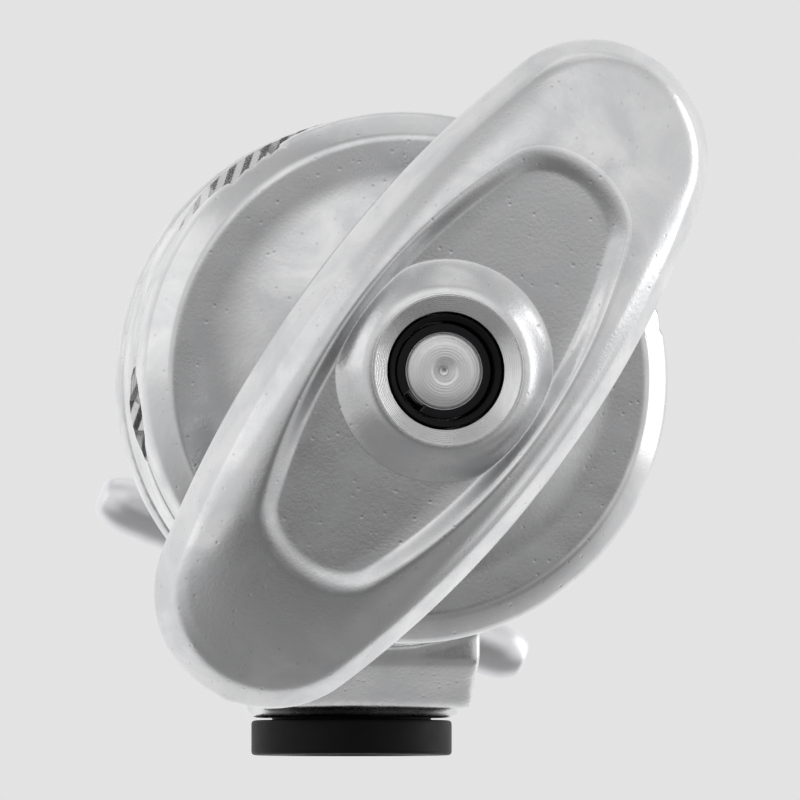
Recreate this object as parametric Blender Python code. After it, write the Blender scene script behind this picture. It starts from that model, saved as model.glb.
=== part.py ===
"""Umbrella swivel bracket: a 2.5 inch grip head that clamps an umbrella shaft on top of a light stand.

The frame is in metres. The origin is the centre of the receiver bore's blind end, which a stand's
stud meets; +Z runs up the receiver and -Y points at the clamping handle.

The receiver and the body are modelled upwards from the middle of the receiver's mouth. Everything on
the clamp axis is modelled in the clamp frame: x to the right, y up and z forward, from
the receiver's axis towards the handle. Everything on the lock screw is modelled in the screw frame:
x to the right, y down and z backward, from the receiver's axis towards the T-bar.
"""

import math

import bmesh
import bpy
from mathutils import Matrix, Vector

MM = 0.001
INCH = 25.4 * MM
GAP = 0.3 * MM  # clearance between pieces that rest on each other
CAST_EDGE = 1.5 * MM
MACHINED_EDGE = 0.8 * MM
FINE_EDGE = 0.3 * MM
OVERRUN = 2 * MM  # how far a cutter runs past the face it enters
TURN = 2 * math.pi

# Receiver: the socket that drops over a 5/8 inch stand stud
CLAMP_HEIGHT = 44.5 * MM
BORE_RADIUS = 8.15 * MM
BORE_DEPTH = 42 * MM
BARREL_RADIUS = 13 * MM
BARREL_TOP = 62 * MM
FOOT_THICKNESS = 4.2 * MM
FOOT_RADIUS = 12.1 * MM
FOOT_BORE = 8.3 * MM
SPIGOT_RADIUS = 9.6 * MM
SPIGOT_TOP = 8 * MM
NECK_HALF_WIDTH = 12.6 * MM
NECK_START = 3 * MM
NECK_FOOT = 14.5 * MM  # how far forward the neck's underside runs before it slopes up
NECK_FRONT = 20.5 * MM
NECK_SLOPE_TOP = 6.5 * MM
NECK_TOP = 57 * MM
CROWN_HEIGHT = 4 * MM
CROWN_WIDTH = 4.4 * MM
CROWN_STEP = 1.3 * MM
GUSSET_RISES = (-13.6 * MM, 13.4 * MM)
GUSSET_HALF_THICKNESS = 1.75 * MM
GUSSET_ROOT = (9 * MM, 2 * MM)  # across from the clamp axis, and forward from the receiver's axis
GUSSET_TIP = (26 * MM, 16 * MM)
GUSSET_FRONT = 19 * MM

# Jaws: the fixed disc of the casting and the two turning discs
DISC_RADIUS = 1.25 * INCH
FIXED_BACK = 16.5 * MM
FIXED_THICKNESS = 6.5 * MM
FRICTION_RADIUS = 23 * MM
FRICTION_THICKNESS = 2 * MM
FRICTION_RECESS = 1.2 * MM
FRICTION_BORE = 6 * MM
FRICTION_CLEARANCE = 0.4 * MM
JAW_THICKNESS = 10 * MM
JAW_GAP = 1.1 * MM  # the jaws stand this far apart with an 8 mm shaft between them
FRONT_RIM = 9.5 * MM
RIM_BEVEL = 3 * MM
DOME_RISE = 3 * MM
DOME_RADIUS = 25 * MM
DOME_SHARE = 0.9  # the dome meets the boss's side at this share of its rise
BOSS_RADIUS = 12.4 * MM
JAW_BORE = 5.2 * MM
JAW_TILT = math.radians(-18.7)

# Grooves across the jaws' faces: rod size, distance from the clamp axis, half width, depth, turn
GROOVES = (
    ("three_eighths", 14.0 * MM, 5.1 * MM, 3.8 * MM, math.radians(180)),
    ("five_eighths", 18.0 * MM, 9.73 * MM, 6.8 * MM, 0.0),
    ("half", 16.2 * MM, 7.58 * MM, 5.4 * MM, math.radians(-90)),
    ("quarter", 13.0 * MM, 3.74 * MM, 2.9 * MM, math.radians(90)),
)

# Clamp stud, its cross pin and the spring that opens the jaws
STUD_RADIUS = 4.7 * MM
STUD_BACK = 10.4 * MM
STUD_LIP = 0.9 * MM  # length of the stud in front of its ring groove
STUD_GROOVE = 0.9 * MM  # depth of the ring groove
CENTRE_MARK_RADIUS = 1.3 * MM
CENTRE_MARK_DEPTH = 1.2 * MM
PIN_POSITION = 14 * MM
PIN_RADIUS = 1.5 * MM
PIN_WALL = 0.6 * MM
SPRING_SEAT_RADIUS = 7.6 * MM
SPRING_SEAT_DEPTH = 5 * MM
SPRING_RADIUS = 6.3 * MM
WIRE = 1.3 * MM
END_PITCH = 1.45 * MM
MIDDLE_TURNS = 3

# Thrust bearing between the front jaw and the handle
RACE_THICKNESS = 1.6 * MM
RACE_RADIUS = 12 * MM
ROLLER_RADIUS = 1.2 * MM
ROLLER_LENGTH = 4.4 * MM
ROLLER_CIRCLE = 9.1 * MM
ROLLERS = 10
CAGE_THICKNESS = 1.4 * MM
CAGE_INNER = 5.7 * MM
CAGE_OUTER = 12.4 * MM

# Wing handle: half length, half width and tip radius of its outline
WING_LENGTH = 46.5 * MM
WING_WIDTH = 18.8 * MM
TIP_RADIUS = 14.3 * MM
HANDLE_TILT = math.radians(53.3)
BACK_DROP = 4 * MM  # how far the wings' back face leans back at the tips
FRONT_DROP = 7 * MM
HUB_RADIUS = 11.2 * MM
HUB_TOP_RADIUS = 9.6 * MM
HUB_CONE_RADIUS = 13.2 * MM  # where the hub's front flank runs into the pocket floors
HUB_LENGTH = 18.8 * MM
WING_BACK = 7.5 * MM  # the wings' back face in front of the hub's back face
RIM_FRONT = 18 * MM  # the rim's front edge in front of the hub's back face
BACK_EDGE_WIDTH = 2.4 * MM  # the rounding between the wings' back face and their outer wall
BACK_EDGE_HEIGHT = 3.2 * MM
BACK_EDGE_SHOULDER = 0.2  # where the rounding turns, as shares of its width and height
BACK_EDGE_RISE = 0.45
WALL_DRAFT = 2.2 * MM  # how far the outer wall leans in towards the front
RIM_WIDTH = 5.2 * MM  # from the outline to the rim's crest
RIM_SLOPE = 2.6 * MM  # height of the slope between the outer wall and the crest
RIM_CREST = 0.3 * MM
POCKET_DEPTH = 2 * MM
POCKET_WALL = 2 * MM
POCKET_STRETCH = 0.74  # the crest's length as a share of the outline's
FLOOR_STRETCH = 0.6  # the pocket floor's, so that the floor ramps up towards the tips
NUT_FLATS = 14 * MM
NUT_LENGTH = 8 * MM
NUT_BORE = 5.05 * MM
WEB_BORE = 5.05 * MM
WEB = 1.4 * MM
COUNTERBORE_RADIUS = 7 * MM
COUNTERSINK_RADIUS = 8.8 * MM
COUNTERSINK_DEPTH = 1.6 * MM
SLEEVE_RADIUS = 6.7 * MM
SLEEVE_BORE = 5.95 * MM
SLEEVE_SINK = 1.7 * MM  # how far the sleeve's front face lies behind the hub's front face
RING_RADIUS = 5.65 * MM
RING_THICKNESS = 1.1 * MM
RING_TRAVEL = 4.6 * MM  # how far the handle can back off before its web meets the ring
RING_SLOT = 2.6 * MM
RING_SLOT_TURN = math.radians(225)

# Lock screw at the back of the receiver
SCREW_HEIGHT = 22 * MM
SCREW_RADIUS = 3.9 * MM
SCREW_BOSS_RADIUS = 8 * MM
SCREW_BOSS_END = 18 * MM
SCREW_HOLE = 4.25 * MM
PAD_FACE = 7.96 * MM
PAD_RADIUS = 3.7 * MM
PAD_LENGTH = 2.94 * MM
NOSE_RADIUS = 1.6 * MM
NOSE_LENGTH = 1.8 * MM
SCREW_HEAD_START = 25.5 * MM
SCREW_HEAD_END = 37 * MM
SCREW_HEAD_RADIUS = 6.5 * MM
TBAR_LENGTH = 56 * MM
TBAR_RADIUS = 3.6 * MM
TBAR_END = 3 * MM  # length of each rounded end
TBAR_END_STEPS = 3
TBAR_TILT = math.radians(21)

ROUND = 56  # sides of a large round piece
MEDIUM_ROUND = 36  # sides of a piece of the receiver's or the bearing's size
SMALL_ROUND = 24  # sides of a small round piece
FINE_ROUND = 12  # sides of a pin or a roller


# Stations along the clamp axis, each worked out from the one behind it
FIXED_FACE = FIXED_BACK + FIXED_THICKNESS
FRICTION_BACK = FIXED_FACE - FRICTION_RECESS + GAP
REAR_BACK = FRICTION_BACK + FRICTION_THICKNESS + GAP
REAR_FACE = REAR_BACK + JAW_THICKNESS
FRONT_FACE = REAR_FACE + JAW_GAP
FRONT_EDGE = FRONT_FACE + FRONT_RIM
FRONT_BOSS = FRONT_EDGE + DOME_RISE
REAR_RACE = FRONT_BOSS + GAP
ROLLER_BACK = REAR_RACE + RACE_THICKNESS + GAP
ROLLER_PLANE = ROLLER_BACK + ROLLER_RADIUS
FRONT_RACE = ROLLER_PLANE + ROLLER_RADIUS + GAP
HUB_BACK = FRONT_RACE + RACE_THICKNESS + GAP
HUB_FRONT = HUB_BACK + HUB_LENGTH
NUT_BACK = HUB_BACK + GAP
NUT_FRONT = NUT_BACK + NUT_LENGTH
WEB_BACK = NUT_FRONT + GAP
WEB_FRONT = WEB_BACK + WEB
RING_BACK = WEB_FRONT + RING_TRAVEL
RING_FRONT = RING_BACK + RING_THICKNESS
STUD_FRONT = RING_FRONT + STUD_LIP


def clear_scene():
    for obj in list(bpy.data.objects):
        bpy.data.objects.remove(obj)


def material(name, colour, roughness, metallic):
    made = bpy.data.materials.new(name)
    made.use_nodes = True
    shader = made.node_tree.nodes["Principled BSDF"]
    shader.inputs["Base Color"].default_value = (*colour, 1)
    shader.inputs["Roughness"].default_value = roughness
    shader.inputs["Metallic"].default_value = metallic
    return made


def empty(name, location=(0, 0, 0), rotation=(0, 0, 0), parent=None):
    made = bpy.data.objects.new(name, None)
    made.location = location
    made.rotation_euler = rotation
    made.parent = parent
    bpy.context.scene.collection.objects.link(made)
    return made


def mesh_object(name, bm, look=None, parent=None):
    bmesh.ops.recalc_face_normals(bm, faces=bm.faces)
    mesh = bpy.data.meshes.new(name)
    bm.to_mesh(mesh)
    bm.free()
    mesh.shade_smooth()
    mesh.set_sharp_from_angle(angle=math.radians(35))
    if look:
        mesh.materials.append(look)
    made = bpy.data.objects.new(name, mesh)
    made.parent = parent
    bpy.context.scene.collection.objects.link(made)
    return made


def combine(target, other, operation):
    """Cuts other from target, or joins it, and keeps other as a hidden helper."""
    other.hide_render = True
    other.display_type = "WIRE"
    modifier = target.modifiers.new(other.name, "BOOLEAN")
    modifier.operation = operation
    modifier.object = other


def cut(target, *cutters):
    for cutter in cutters:
        combine(target, cutter, "DIFFERENCE")


def join(target, *others):
    for other in others:
        combine(target, other, "UNION")


def join_rings(bm, rings):
    """Faces between neighbouring rings of vertices; a ring of one vertex closes the end to a point."""
    for first, second in zip(rings, rings[1:]):
        count = max(len(first), len(second))
        for i in range(count):
            j = (i + 1) % count
            corners = [
                first[i % len(first)],
                first[j % len(first)],
                second[j % len(second)],
                second[i % len(second)],
            ]
            corners = list(dict.fromkeys(corners))
            if len(corners) > 2:
                bm.faces.new(corners)


def turned(name, profile, sides=ROUND, look=None, parent=None):
    """A piece turned about z from (radius, z) points. A profile off the axis closes on itself."""
    bm = bmesh.new()
    rings = []
    for radius, z in profile:
        if radius == 0:
            rings.append([bm.verts.new((0, 0, z))])
            continue
        angles = [TURN * i / sides for i in range(sides)]
        rings.append([bm.verts.new((radius * math.cos(a), radius * math.sin(a), z)) for a in angles])
    if profile[0][0] > 0:
        rings.append(rings[0])
    join_rings(bm, rings)
    return mesh_object(name, bm, look, parent)


def washer(name, inner, outer, back, front, edge=0.0, sides=ROUND, look=None, parent=None):
    """A flat ring with its two outer corners bevelled by edge."""
    profile = [(inner, back), (outer - edge, back)]
    if edge:
        profile += [(outer, back + edge), (outer, front - edge)]
        profile += [(outer - edge, front)]
    else:
        profile += [(outer, front)]
    profile += [(inner, front)]
    return turned(name, profile, sides, look, parent)


def rod(name, radius, back, front, sides=SMALL_ROUND, edge=0.0, look=None, parent=None):
    profile = [(0, back), (radius - edge, back)]
    if edge:
        profile += [(radius, back + edge), (radius, front - edge)]
    profile += [(radius - edge, front), (0, front)]
    return turned(name, profile, sides, look, parent)


def prism(name, outline, low, high, look=None, parent=None):
    """An outline of (x, y) points, in order, pulled from z = low to z = high."""
    bm = bmesh.new()
    bottom = [bm.verts.new((x, y, low)) for x, y in outline]
    top = [bm.verts.new((x, y, high)) for x, y in outline]
    join_rings(bm, [bottom, top])
    bm.faces.new(bottom)
    bm.faces.new(top)
    return mesh_object(name, bm, look, parent)


def block(name, low, high, parent=None):
    outline = ((low[0], low[1]), (high[0], low[1]), (high[0], high[1]), (low[0], high[1]))
    return prism(name, outline, low[2], high[2], parent=parent)


def hexagon(flats):
    corner = flats / math.sqrt(3)
    return [(corner * math.cos(TURN * i / 6), corner * math.sin(TURN * i / 6)) for i in range(6)]


def place(obj, location=(0, 0, 0), rotation=(0, 0, 0)):
    obj.location = location
    obj.rotation_euler = rotation
    return obj


def body_casting(look, mouth, clamp, screw):
    """The die-cast body: fixed disc, neck, receiver barrel, four gussets and the lock-screw boss."""
    body = turned(
        "body_casting",
        (
            (0, FIXED_BACK),
            (DISC_RADIUS - CAST_EDGE, FIXED_BACK),
            (DISC_RADIUS, FIXED_BACK + CAST_EDGE),
            (DISC_RADIUS, FIXED_FACE - MACHINED_EDGE),
            (DISC_RADIUS - MACHINED_EDGE, FIXED_FACE),
            (0, FIXED_FACE),
        ),
        look=look,
        parent=clamp,
    )
    bottom = FOOT_THICKNESS + GAP
    barrel = turned(
        "barrel",
        (
            (0, bottom),
            (BARREL_RADIUS - MACHINED_EDGE, bottom),
            (BARREL_RADIUS, bottom + MACHINED_EDGE),
            (BARREL_RADIUS, BARREL_TOP - CROWN_HEIGHT),
            (BARREL_RADIUS - CROWN_STEP, BARREL_TOP - CROWN_STEP),
            (BARREL_RADIUS - CROWN_WIDTH, BARREL_TOP),
            (0, BARREL_TOP),
        ),
        MEDIUM_ROUND,
        parent=mouth,
    )
    neck_bottom = bottom + 1 * MM
    neck_side = (
        (NECK_START, neck_bottom),
        (NECK_FOOT, neck_bottom),
        (NECK_FRONT, bottom + NECK_SLOPE_TOP),
        (NECK_FRONT, NECK_TOP),
        (NECK_START, NECK_TOP),
    )
    neck = prism("neck", neck_side, -NECK_HALF_WIDTH, NECK_HALF_WIDTH, parent=mouth)
    neck.matrix_basis = Matrix(((0, 0, 1, 0), (-1, 0, 0, 0), (0, 1, 0, 0), (0, 0, 0, 1)))
    boss_root = BARREL_RADIUS / 3
    screw_boss = rod(
        "screw_boss",
        SCREW_BOSS_RADIUS,
        boss_root,
        SCREW_BOSS_END,
        edge=MACHINED_EDGE,
        parent=screw,
    )
    join(body, barrel, neck, screw_boss)
    gusset_plan = (
        GUSSET_ROOT,
        GUSSET_TIP,
        (GUSSET_TIP[0], GUSSET_FRONT),
        (GUSSET_ROOT[0], GUSSET_FRONT),
    )
    for side in (-1, 1):
        for rise in GUSSET_RISES:
            outline = [(side * x, z) for x, z in gusset_plan]
            gusset = prism("gusset", outline, -GUSSET_HALF_THICKNESS, GUSSET_HALF_THICKNESS, parent=clamp)
            place(gusset, (0, rise, 0), (math.radians(90), 0, 0))
            join(body, gusset)

    bore = rod("receiver_bore", BORE_RADIUS, -OVERRUN, BORE_DEPTH, MEDIUM_ROUND, parent=mouth)
    seat = rod("spigot_seat", SPIGOT_RADIUS + GAP, -OVERRUN, SPIGOT_TOP + GAP, MEDIUM_ROUND, parent=mouth)
    recess_floor = FIXED_FACE - FRICTION_RECESS
    recess_radius = FRICTION_RADIUS + FRICTION_CLEARANCE
    outside = FIXED_FACE + OVERRUN
    recess = rod("recess", recess_radius, recess_floor, outside, ROUND, parent=clamp)
    stud_hole = rod("stud_hole", STUD_RADIUS + GAP, STUD_BACK - GAP, outside, parent=clamp)
    pin_reach = NECK_HALF_WIDTH + 3 * OVERRUN
    pin_hole = rod("pin_hole", PIN_RADIUS + GAP, -pin_reach, pin_reach, FINE_ROUND, parent=clamp)
    place(pin_hole, (0, 0, PIN_POSITION), (0, math.radians(90), 0))
    screw_hole = rod("screw_hole", SCREW_HOLE, 0, SCREW_BOSS_END + OVERRUN, parent=screw)
    cut(body, bore, seat, recess, stud_hole, pin_hole, screw_hole)
    return body


def foot_ring(look, mouth):
    """The black ring at the receiver's mouth, with a spigot pressed up into the casting."""
    profile = (
        (FOOT_BORE, 0),
        (FOOT_RADIUS - FINE_EDGE, 0),
        (FOOT_RADIUS, FINE_EDGE),
        (FOOT_RADIUS, FOOT_THICKNESS - FINE_EDGE),
        (FOOT_RADIUS - FINE_EDGE, FOOT_THICKNESS),
        (SPIGOT_RADIUS, FOOT_THICKNESS),
        (SPIGOT_RADIUS, SPIGOT_TOP),
        (FOOT_BORE, SPIGOT_TOP),
    )
    return turned("foot_ring", profile, MEDIUM_ROUND, look, mouth)


def clamp_stud(look, clamp):
    """The stud that carries the jaws: a cross hole at the back, a ring groove at the front."""
    groove_back = RING_BACK - GAP
    groove_front = RING_FRONT + GAP
    groove_radius = STUD_RADIUS - STUD_GROOVE
    profile = (
        (0, STUD_BACK),
        (STUD_RADIUS - MACHINED_EDGE, STUD_BACK),
        (STUD_RADIUS, STUD_BACK + MACHINED_EDGE),
        (STUD_RADIUS, groove_back),
        (groove_radius, groove_back),
        (groove_radius, groove_front),
        (STUD_RADIUS - FINE_EDGE, groove_front),
        (STUD_RADIUS - MACHINED_EDGE, STUD_FRONT),
        (CENTRE_MARK_RADIUS, STUD_FRONT),
        (0, STUD_FRONT - CENTRE_MARK_DEPTH),
    )
    stud = turned("clamp_stud", profile, SMALL_ROUND, look, clamp)
    reach = STUD_RADIUS + OVERRUN
    cross_hole = rod("cross_hole", PIN_RADIUS + GAP, -reach, reach, FINE_ROUND, parent=clamp)
    place(cross_hole, (0, 0, PIN_POSITION), (0, math.radians(90), 0))
    cut(stud, cross_hole)
    return stud


def stud_pin(look, clamp):
    """The hollow spring pin that holds the stud in the neck."""
    half = NECK_HALF_WIDTH - GAP
    bore = PIN_RADIUS - PIN_WALL
    pin = washer("stud_pin", bore, PIN_RADIUS, -half, half, sides=FINE_ROUND, look=look, parent=clamp)
    return place(pin, (0, 0, PIN_POSITION), (0, math.radians(90), 0))


def groove_cutter(face, direction, groove, parent):
    """A truncated V, open at the jaw's face and running right across it."""
    name, offset, half_width, depth, turn = groove
    flat = half_width - depth
    spread = half_width + OVERRUN
    section = (
        (-spread, -direction * OVERRUN),
        (-flat, direction * depth),
        (flat, direction * depth),
        (spread, -direction * OVERRUN),
    )
    reach = DISC_RADIUS + OVERRUN
    cutter = prism(name + "_cutter", section, -reach, reach, parent=parent)
    across = Matrix(((0, 0, 1, 0), (1, 0, 0, offset), (0, 1, 0, face), (0, 0, 0, 1)))
    cutter.matrix_basis = Matrix.Rotation(turn, 4, "Z") @ across
    return cutter


def rear_jaw(look, jaws):
    jaw = turned(
        "rear_jaw",
        (
            (JAW_BORE, REAR_BACK),
            (DISC_RADIUS - MACHINED_EDGE, REAR_BACK),
            (DISC_RADIUS, REAR_BACK + MACHINED_EDGE),
            (DISC_RADIUS, REAR_FACE - MACHINED_EDGE),
            (DISC_RADIUS - MACHINED_EDGE, REAR_FACE),
            (SPRING_SEAT_RADIUS, REAR_FACE),
            (SPRING_SEAT_RADIUS, REAR_FACE - SPRING_SEAT_DEPTH),
            (JAW_BORE, REAR_FACE - SPRING_SEAT_DEPTH),
        ),
        look=look,
        parent=jaws,
    )
    cut(jaw, *(groove_cutter(REAR_FACE, -1, groove, jaws) for groove in GROOVES))
    return jaw


def front_jaw(look, jaws):
    """The disc under the handle: a bevelled rim, a flat border and a shallow dome up to its boss."""
    steps = 5
    dome = []
    for i in range(steps + 1):
        share = i / steps
        radius = DOME_RADIUS + (BOSS_RADIUS - DOME_RADIUS) * share
        rise = DOME_SHARE * DOME_RISE * share * share * (3 - 2 * share)
        dome.append((radius, FRONT_EDGE + rise))
    jaw = turned(
        "front_jaw",
        (
            (JAW_BORE, FRONT_BOSS),
            (JAW_BORE, FRONT_FACE + SPRING_SEAT_DEPTH),
            (SPRING_SEAT_RADIUS, FRONT_FACE + SPRING_SEAT_DEPTH),
            (SPRING_SEAT_RADIUS, FRONT_FACE),
            (DISC_RADIUS - MACHINED_EDGE, FRONT_FACE),
            (DISC_RADIUS, FRONT_FACE + MACHINED_EDGE),
            (DISC_RADIUS, FRONT_EDGE - RIM_BEVEL),
            (DISC_RADIUS - RIM_BEVEL, FRONT_EDGE),
            *dome,
            (BOSS_RADIUS, FRONT_BOSS),
        ),
        look=look,
        parent=jaws,
    )
    cut(jaw, *(groove_cutter(FRONT_FACE, 1, groove, jaws) for groove in GROOVES))
    return jaw


def jaw_spring(look, clamp):
    """A compression spring with one closed turn at each end."""
    start = REAR_FACE - SPRING_SEAT_DEPTH + GAP + WIRE / 2
    end = FRONT_FACE + SPRING_SEAT_DEPTH - GAP - WIRE / 2
    middle_pitch = (end - start - 2 * END_PITCH) / MIDDLE_TURNS
    steps = 14
    sides = 6
    bm = bmesh.new()
    rings = []
    turns = MIDDLE_TURNS + 2
    for i in range(turns * steps + 1):
        turn = i / steps
        first = min(turn, 1)
        last = max(turn - 1 - MIDDLE_TURNS, 0)
        height = start + END_PITCH * (first + last) + middle_pitch * (turn - first - last)
        angle = TURN * turn
        outward = Vector((math.cos(angle), math.sin(angle), 0))
        centre = outward * SPRING_RADIUS + Vector((0, 0, height))
        ring = []
        for k in range(sides):
            around = TURN * k / sides
            offset = outward * math.cos(around) + Vector((0, 0, 1)) * math.sin(around)
            ring.append(bm.verts.new(centre + offset * WIRE / 2))
        rings.append(ring)
    join_rings(bm, rings)
    bm.faces.new(rings[0])
    bm.faces.new(rings[-1])
    return mesh_object("jaw_spring", bm, look, clamp)


def thrust_bearing(race_look, cage_look, clamp):
    """Two flat races with a cage of needle rollers between them."""
    race_size = (JAW_BORE, RACE_RADIUS, 0, RACE_THICKNESS)
    race = washer("rear_race", *race_size, FINE_EDGE, MEDIUM_ROUND, race_look, clamp)
    place(race, (0, 0, REAR_RACE))
    second = bpy.data.objects.new("front_race", race.data.copy())
    second.parent = clamp
    bpy.context.scene.collection.objects.link(second)
    place(second, (0, 0, FRONT_RACE))

    half = CAGE_THICKNESS / 2
    cage_size = (CAGE_INNER, CAGE_OUTER, -half, half)
    cage = washer("roller_cage", *cage_size, FINE_EDGE, MEDIUM_ROUND, cage_look, clamp)
    place(cage, (0, 0, ROLLER_PLANE))
    pocket_half = (ROLLER_LENGTH / 2 + GAP, ROLLER_RADIUS + GAP, 2 * CAGE_THICKNESS)
    roller_mesh = None
    for i in range(ROLLERS):
        turn = TURN * (i + 0.5) / ROLLERS
        centre = Vector((math.cos(turn), math.sin(turn), 0)) * ROLLER_CIRCLE
        centre.z = ROLLER_PLANE
        pocket = block("pocket", [-v for v in pocket_half], pocket_half, clamp)
        place(pocket, centre, (0, 0, turn))
        cut(cage, pocket)
        if roller_mesh is None:
            reach = ROLLER_LENGTH / 2
            roller = rod("roller_01", ROLLER_RADIUS, -reach, reach, FINE_ROUND, FINE_EDGE, race_look, clamp)
            roller_mesh = roller.data
        else:
            roller = bpy.data.objects.new(f"roller_{i + 1:02d}", roller_mesh.copy())
            roller.parent = clamp
            bpy.context.scene.collection.objects.link(roller)
        roller.location = centre
        roller.rotation_euler = (0, math.radians(90), turn)


def wing_outline(inset):
    """The handle's outline, moved inwards: two long arcs that run into two tip arcs, x along the wings."""
    reach = WING_LENGTH - TIP_RADIUS
    side_radius = (reach**2 + WING_WIDTH**2 - TIP_RADIUS**2) / (2 * (WING_WIDTH - TIP_RADIUS))
    side_centre = WING_WIDTH - side_radius
    meet = math.atan2(-side_centre, reach)
    tip_steps = 6
    side_steps = 14
    half = []
    for i in range(tip_steps):
        angle = meet * i / tip_steps
        radius = TIP_RADIUS - inset
        half.append((reach + radius * math.cos(angle), radius * math.sin(angle)))
    for i in range(side_steps + 1):
        angle = meet + (math.pi - 2 * meet) * i / side_steps
        radius = side_radius - inset
        half.append((radius * math.cos(angle), side_centre + radius * math.sin(angle)))
    half += [(-x, y) for x, y in reversed(half[:tip_steps])]
    return half + [(x, -y) for x, y in reversed(half[1:-1])]


def wing_handle(look, clamp):
    """The clamping handle: a long oval wing with a raised rim, two sunk lands and a hub."""
    axis = empty("handle_axis", (0, 0, 0), (0, 0, HANDLE_TILT), clamp)
    back = HUB_BACK + WING_BACK
    front = HUB_BACK + RIM_FRONT
    floor = front - POCKET_DEPTH
    levels = (
        (BACK_EDGE_WIDTH, back, 1),
        (BACK_EDGE_WIDTH * BACK_EDGE_SHOULDER, back + BACK_EDGE_HEIGHT * BACK_EDGE_RISE, 1),
        (0, back + BACK_EDGE_HEIGHT, 1),
        (WALL_DRAFT, front - RIM_SLOPE, 1),
        (RIM_WIDTH, front, POCKET_STRETCH),
        (RIM_WIDTH + RIM_CREST, front, POCKET_STRETCH),
        (RIM_WIDTH + RIM_CREST + POCKET_WALL, floor, FLOOR_STRETCH),
    )
    bm = bmesh.new()
    rings = []
    for inset, height, stretch in levels:
        lean = BACK_DROP + (FRONT_DROP - BACK_DROP) * (height - back) / (front - back)
        ring = []
        for x, y in wing_outline(inset):
            drop = lean * (x * stretch / WING_LENGTH) ** 2
            ring.append(bm.verts.new((x * stretch, y, height - drop)))
        rings.append(ring)
    join_rings(bm, rings)
    for ring in (rings[0], rings[-1]):
        count = len(ring)
        for i in range(count // 2):
            corners = [ring[i], ring[i + 1], ring[count - i - 1], ring[-i]]
            bm.faces.new(list(dict.fromkeys(corners)))
    handle = mesh_object("wing_handle", bm, look, axis)

    hub = turned(
        "hub",
        (
            (0, HUB_BACK),
            (HUB_RADIUS - MACHINED_EDGE, HUB_BACK),
            (HUB_RADIUS, HUB_BACK + MACHINED_EDGE),
            (HUB_RADIUS, back + MACHINED_EDGE),
            (HUB_CONE_RADIUS, floor - MACHINED_EDGE),
            (HUB_TOP_RADIUS, HUB_FRONT - FINE_EDGE),
            (HUB_TOP_RADIUS - FINE_EDGE, HUB_FRONT),
            (0, HUB_FRONT),
        ),
        MEDIUM_ROUND,
        parent=axis,
    )
    join(handle, hub)
    pocket_outline = hexagon(NUT_FLATS + 2 * GAP)
    nut_pocket = prism("nut_pocket", pocket_outline, HUB_BACK - OVERRUN, WEB_BACK, parent=axis)
    web_hole = rod("web_hole", WEB_BORE, WEB_BACK - OVERRUN, WEB_FRONT + OVERRUN, parent=axis)
    reach = HUB_FRONT + OVERRUN
    counterbore = rod("counterbore", COUNTERBORE_RADIUS, WEB_FRONT, reach, MEDIUM_ROUND, parent=axis)
    widening = (COUNTERSINK_RADIUS - COUNTERBORE_RADIUS) / COUNTERSINK_DEPTH
    countersink = turned(
        "countersink",
        (
            (0, HUB_FRONT - COUNTERSINK_DEPTH),
            (COUNTERBORE_RADIUS, HUB_FRONT - COUNTERSINK_DEPTH),
            (COUNTERSINK_RADIUS + widening * OVERRUN, reach),
            (0, reach),
        ),
        MEDIUM_ROUND,
        parent=axis,
    )
    cut(handle, counterbore, countersink, nut_pocket, web_hole)
    return axis


def handle_nut(look, axis):
    nut = prism("handle_nut", hexagon(NUT_FLATS), NUT_BACK, NUT_FRONT, look, axis)
    cut(nut, rod("nut_bore", NUT_BORE, NUT_BACK - OVERRUN, NUT_FRONT + OVERRUN, parent=axis))
    return nut


def hub_sleeve(look, axis):
    """The black sleeve that lines the hub's counterbore around the stud's end."""
    back = WEB_FRONT + GAP
    front = HUB_FRONT - SLEEVE_SINK
    size = (SLEEVE_BORE, SLEEVE_RADIUS, back, front)
    return washer("hub_sleeve", *size, sides=MEDIUM_ROUND, look=look, parent=axis)


def retaining_ring(look, clamp):
    """The open ring that snaps into the stud's groove and stops the handle from coming off."""
    size = (STUD_RADIUS - STUD_GROOVE + GAP, RING_RADIUS, RING_BACK, RING_FRONT)
    ring = washer("retaining_ring", *size, FINE_EDGE, MEDIUM_ROUND, look, clamp)
    slot_low = (0, -RING_SLOT / 2, RING_BACK - OVERRUN)
    slot_high = (RING_RADIUS + OVERRUN, RING_SLOT / 2, RING_FRONT + OVERRUN)
    slot = block("slot", slot_low, slot_high, clamp)
    place(slot, rotation=(0, 0, RING_SLOT_TURN))
    cut(ring, slot)
    return ring


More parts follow.
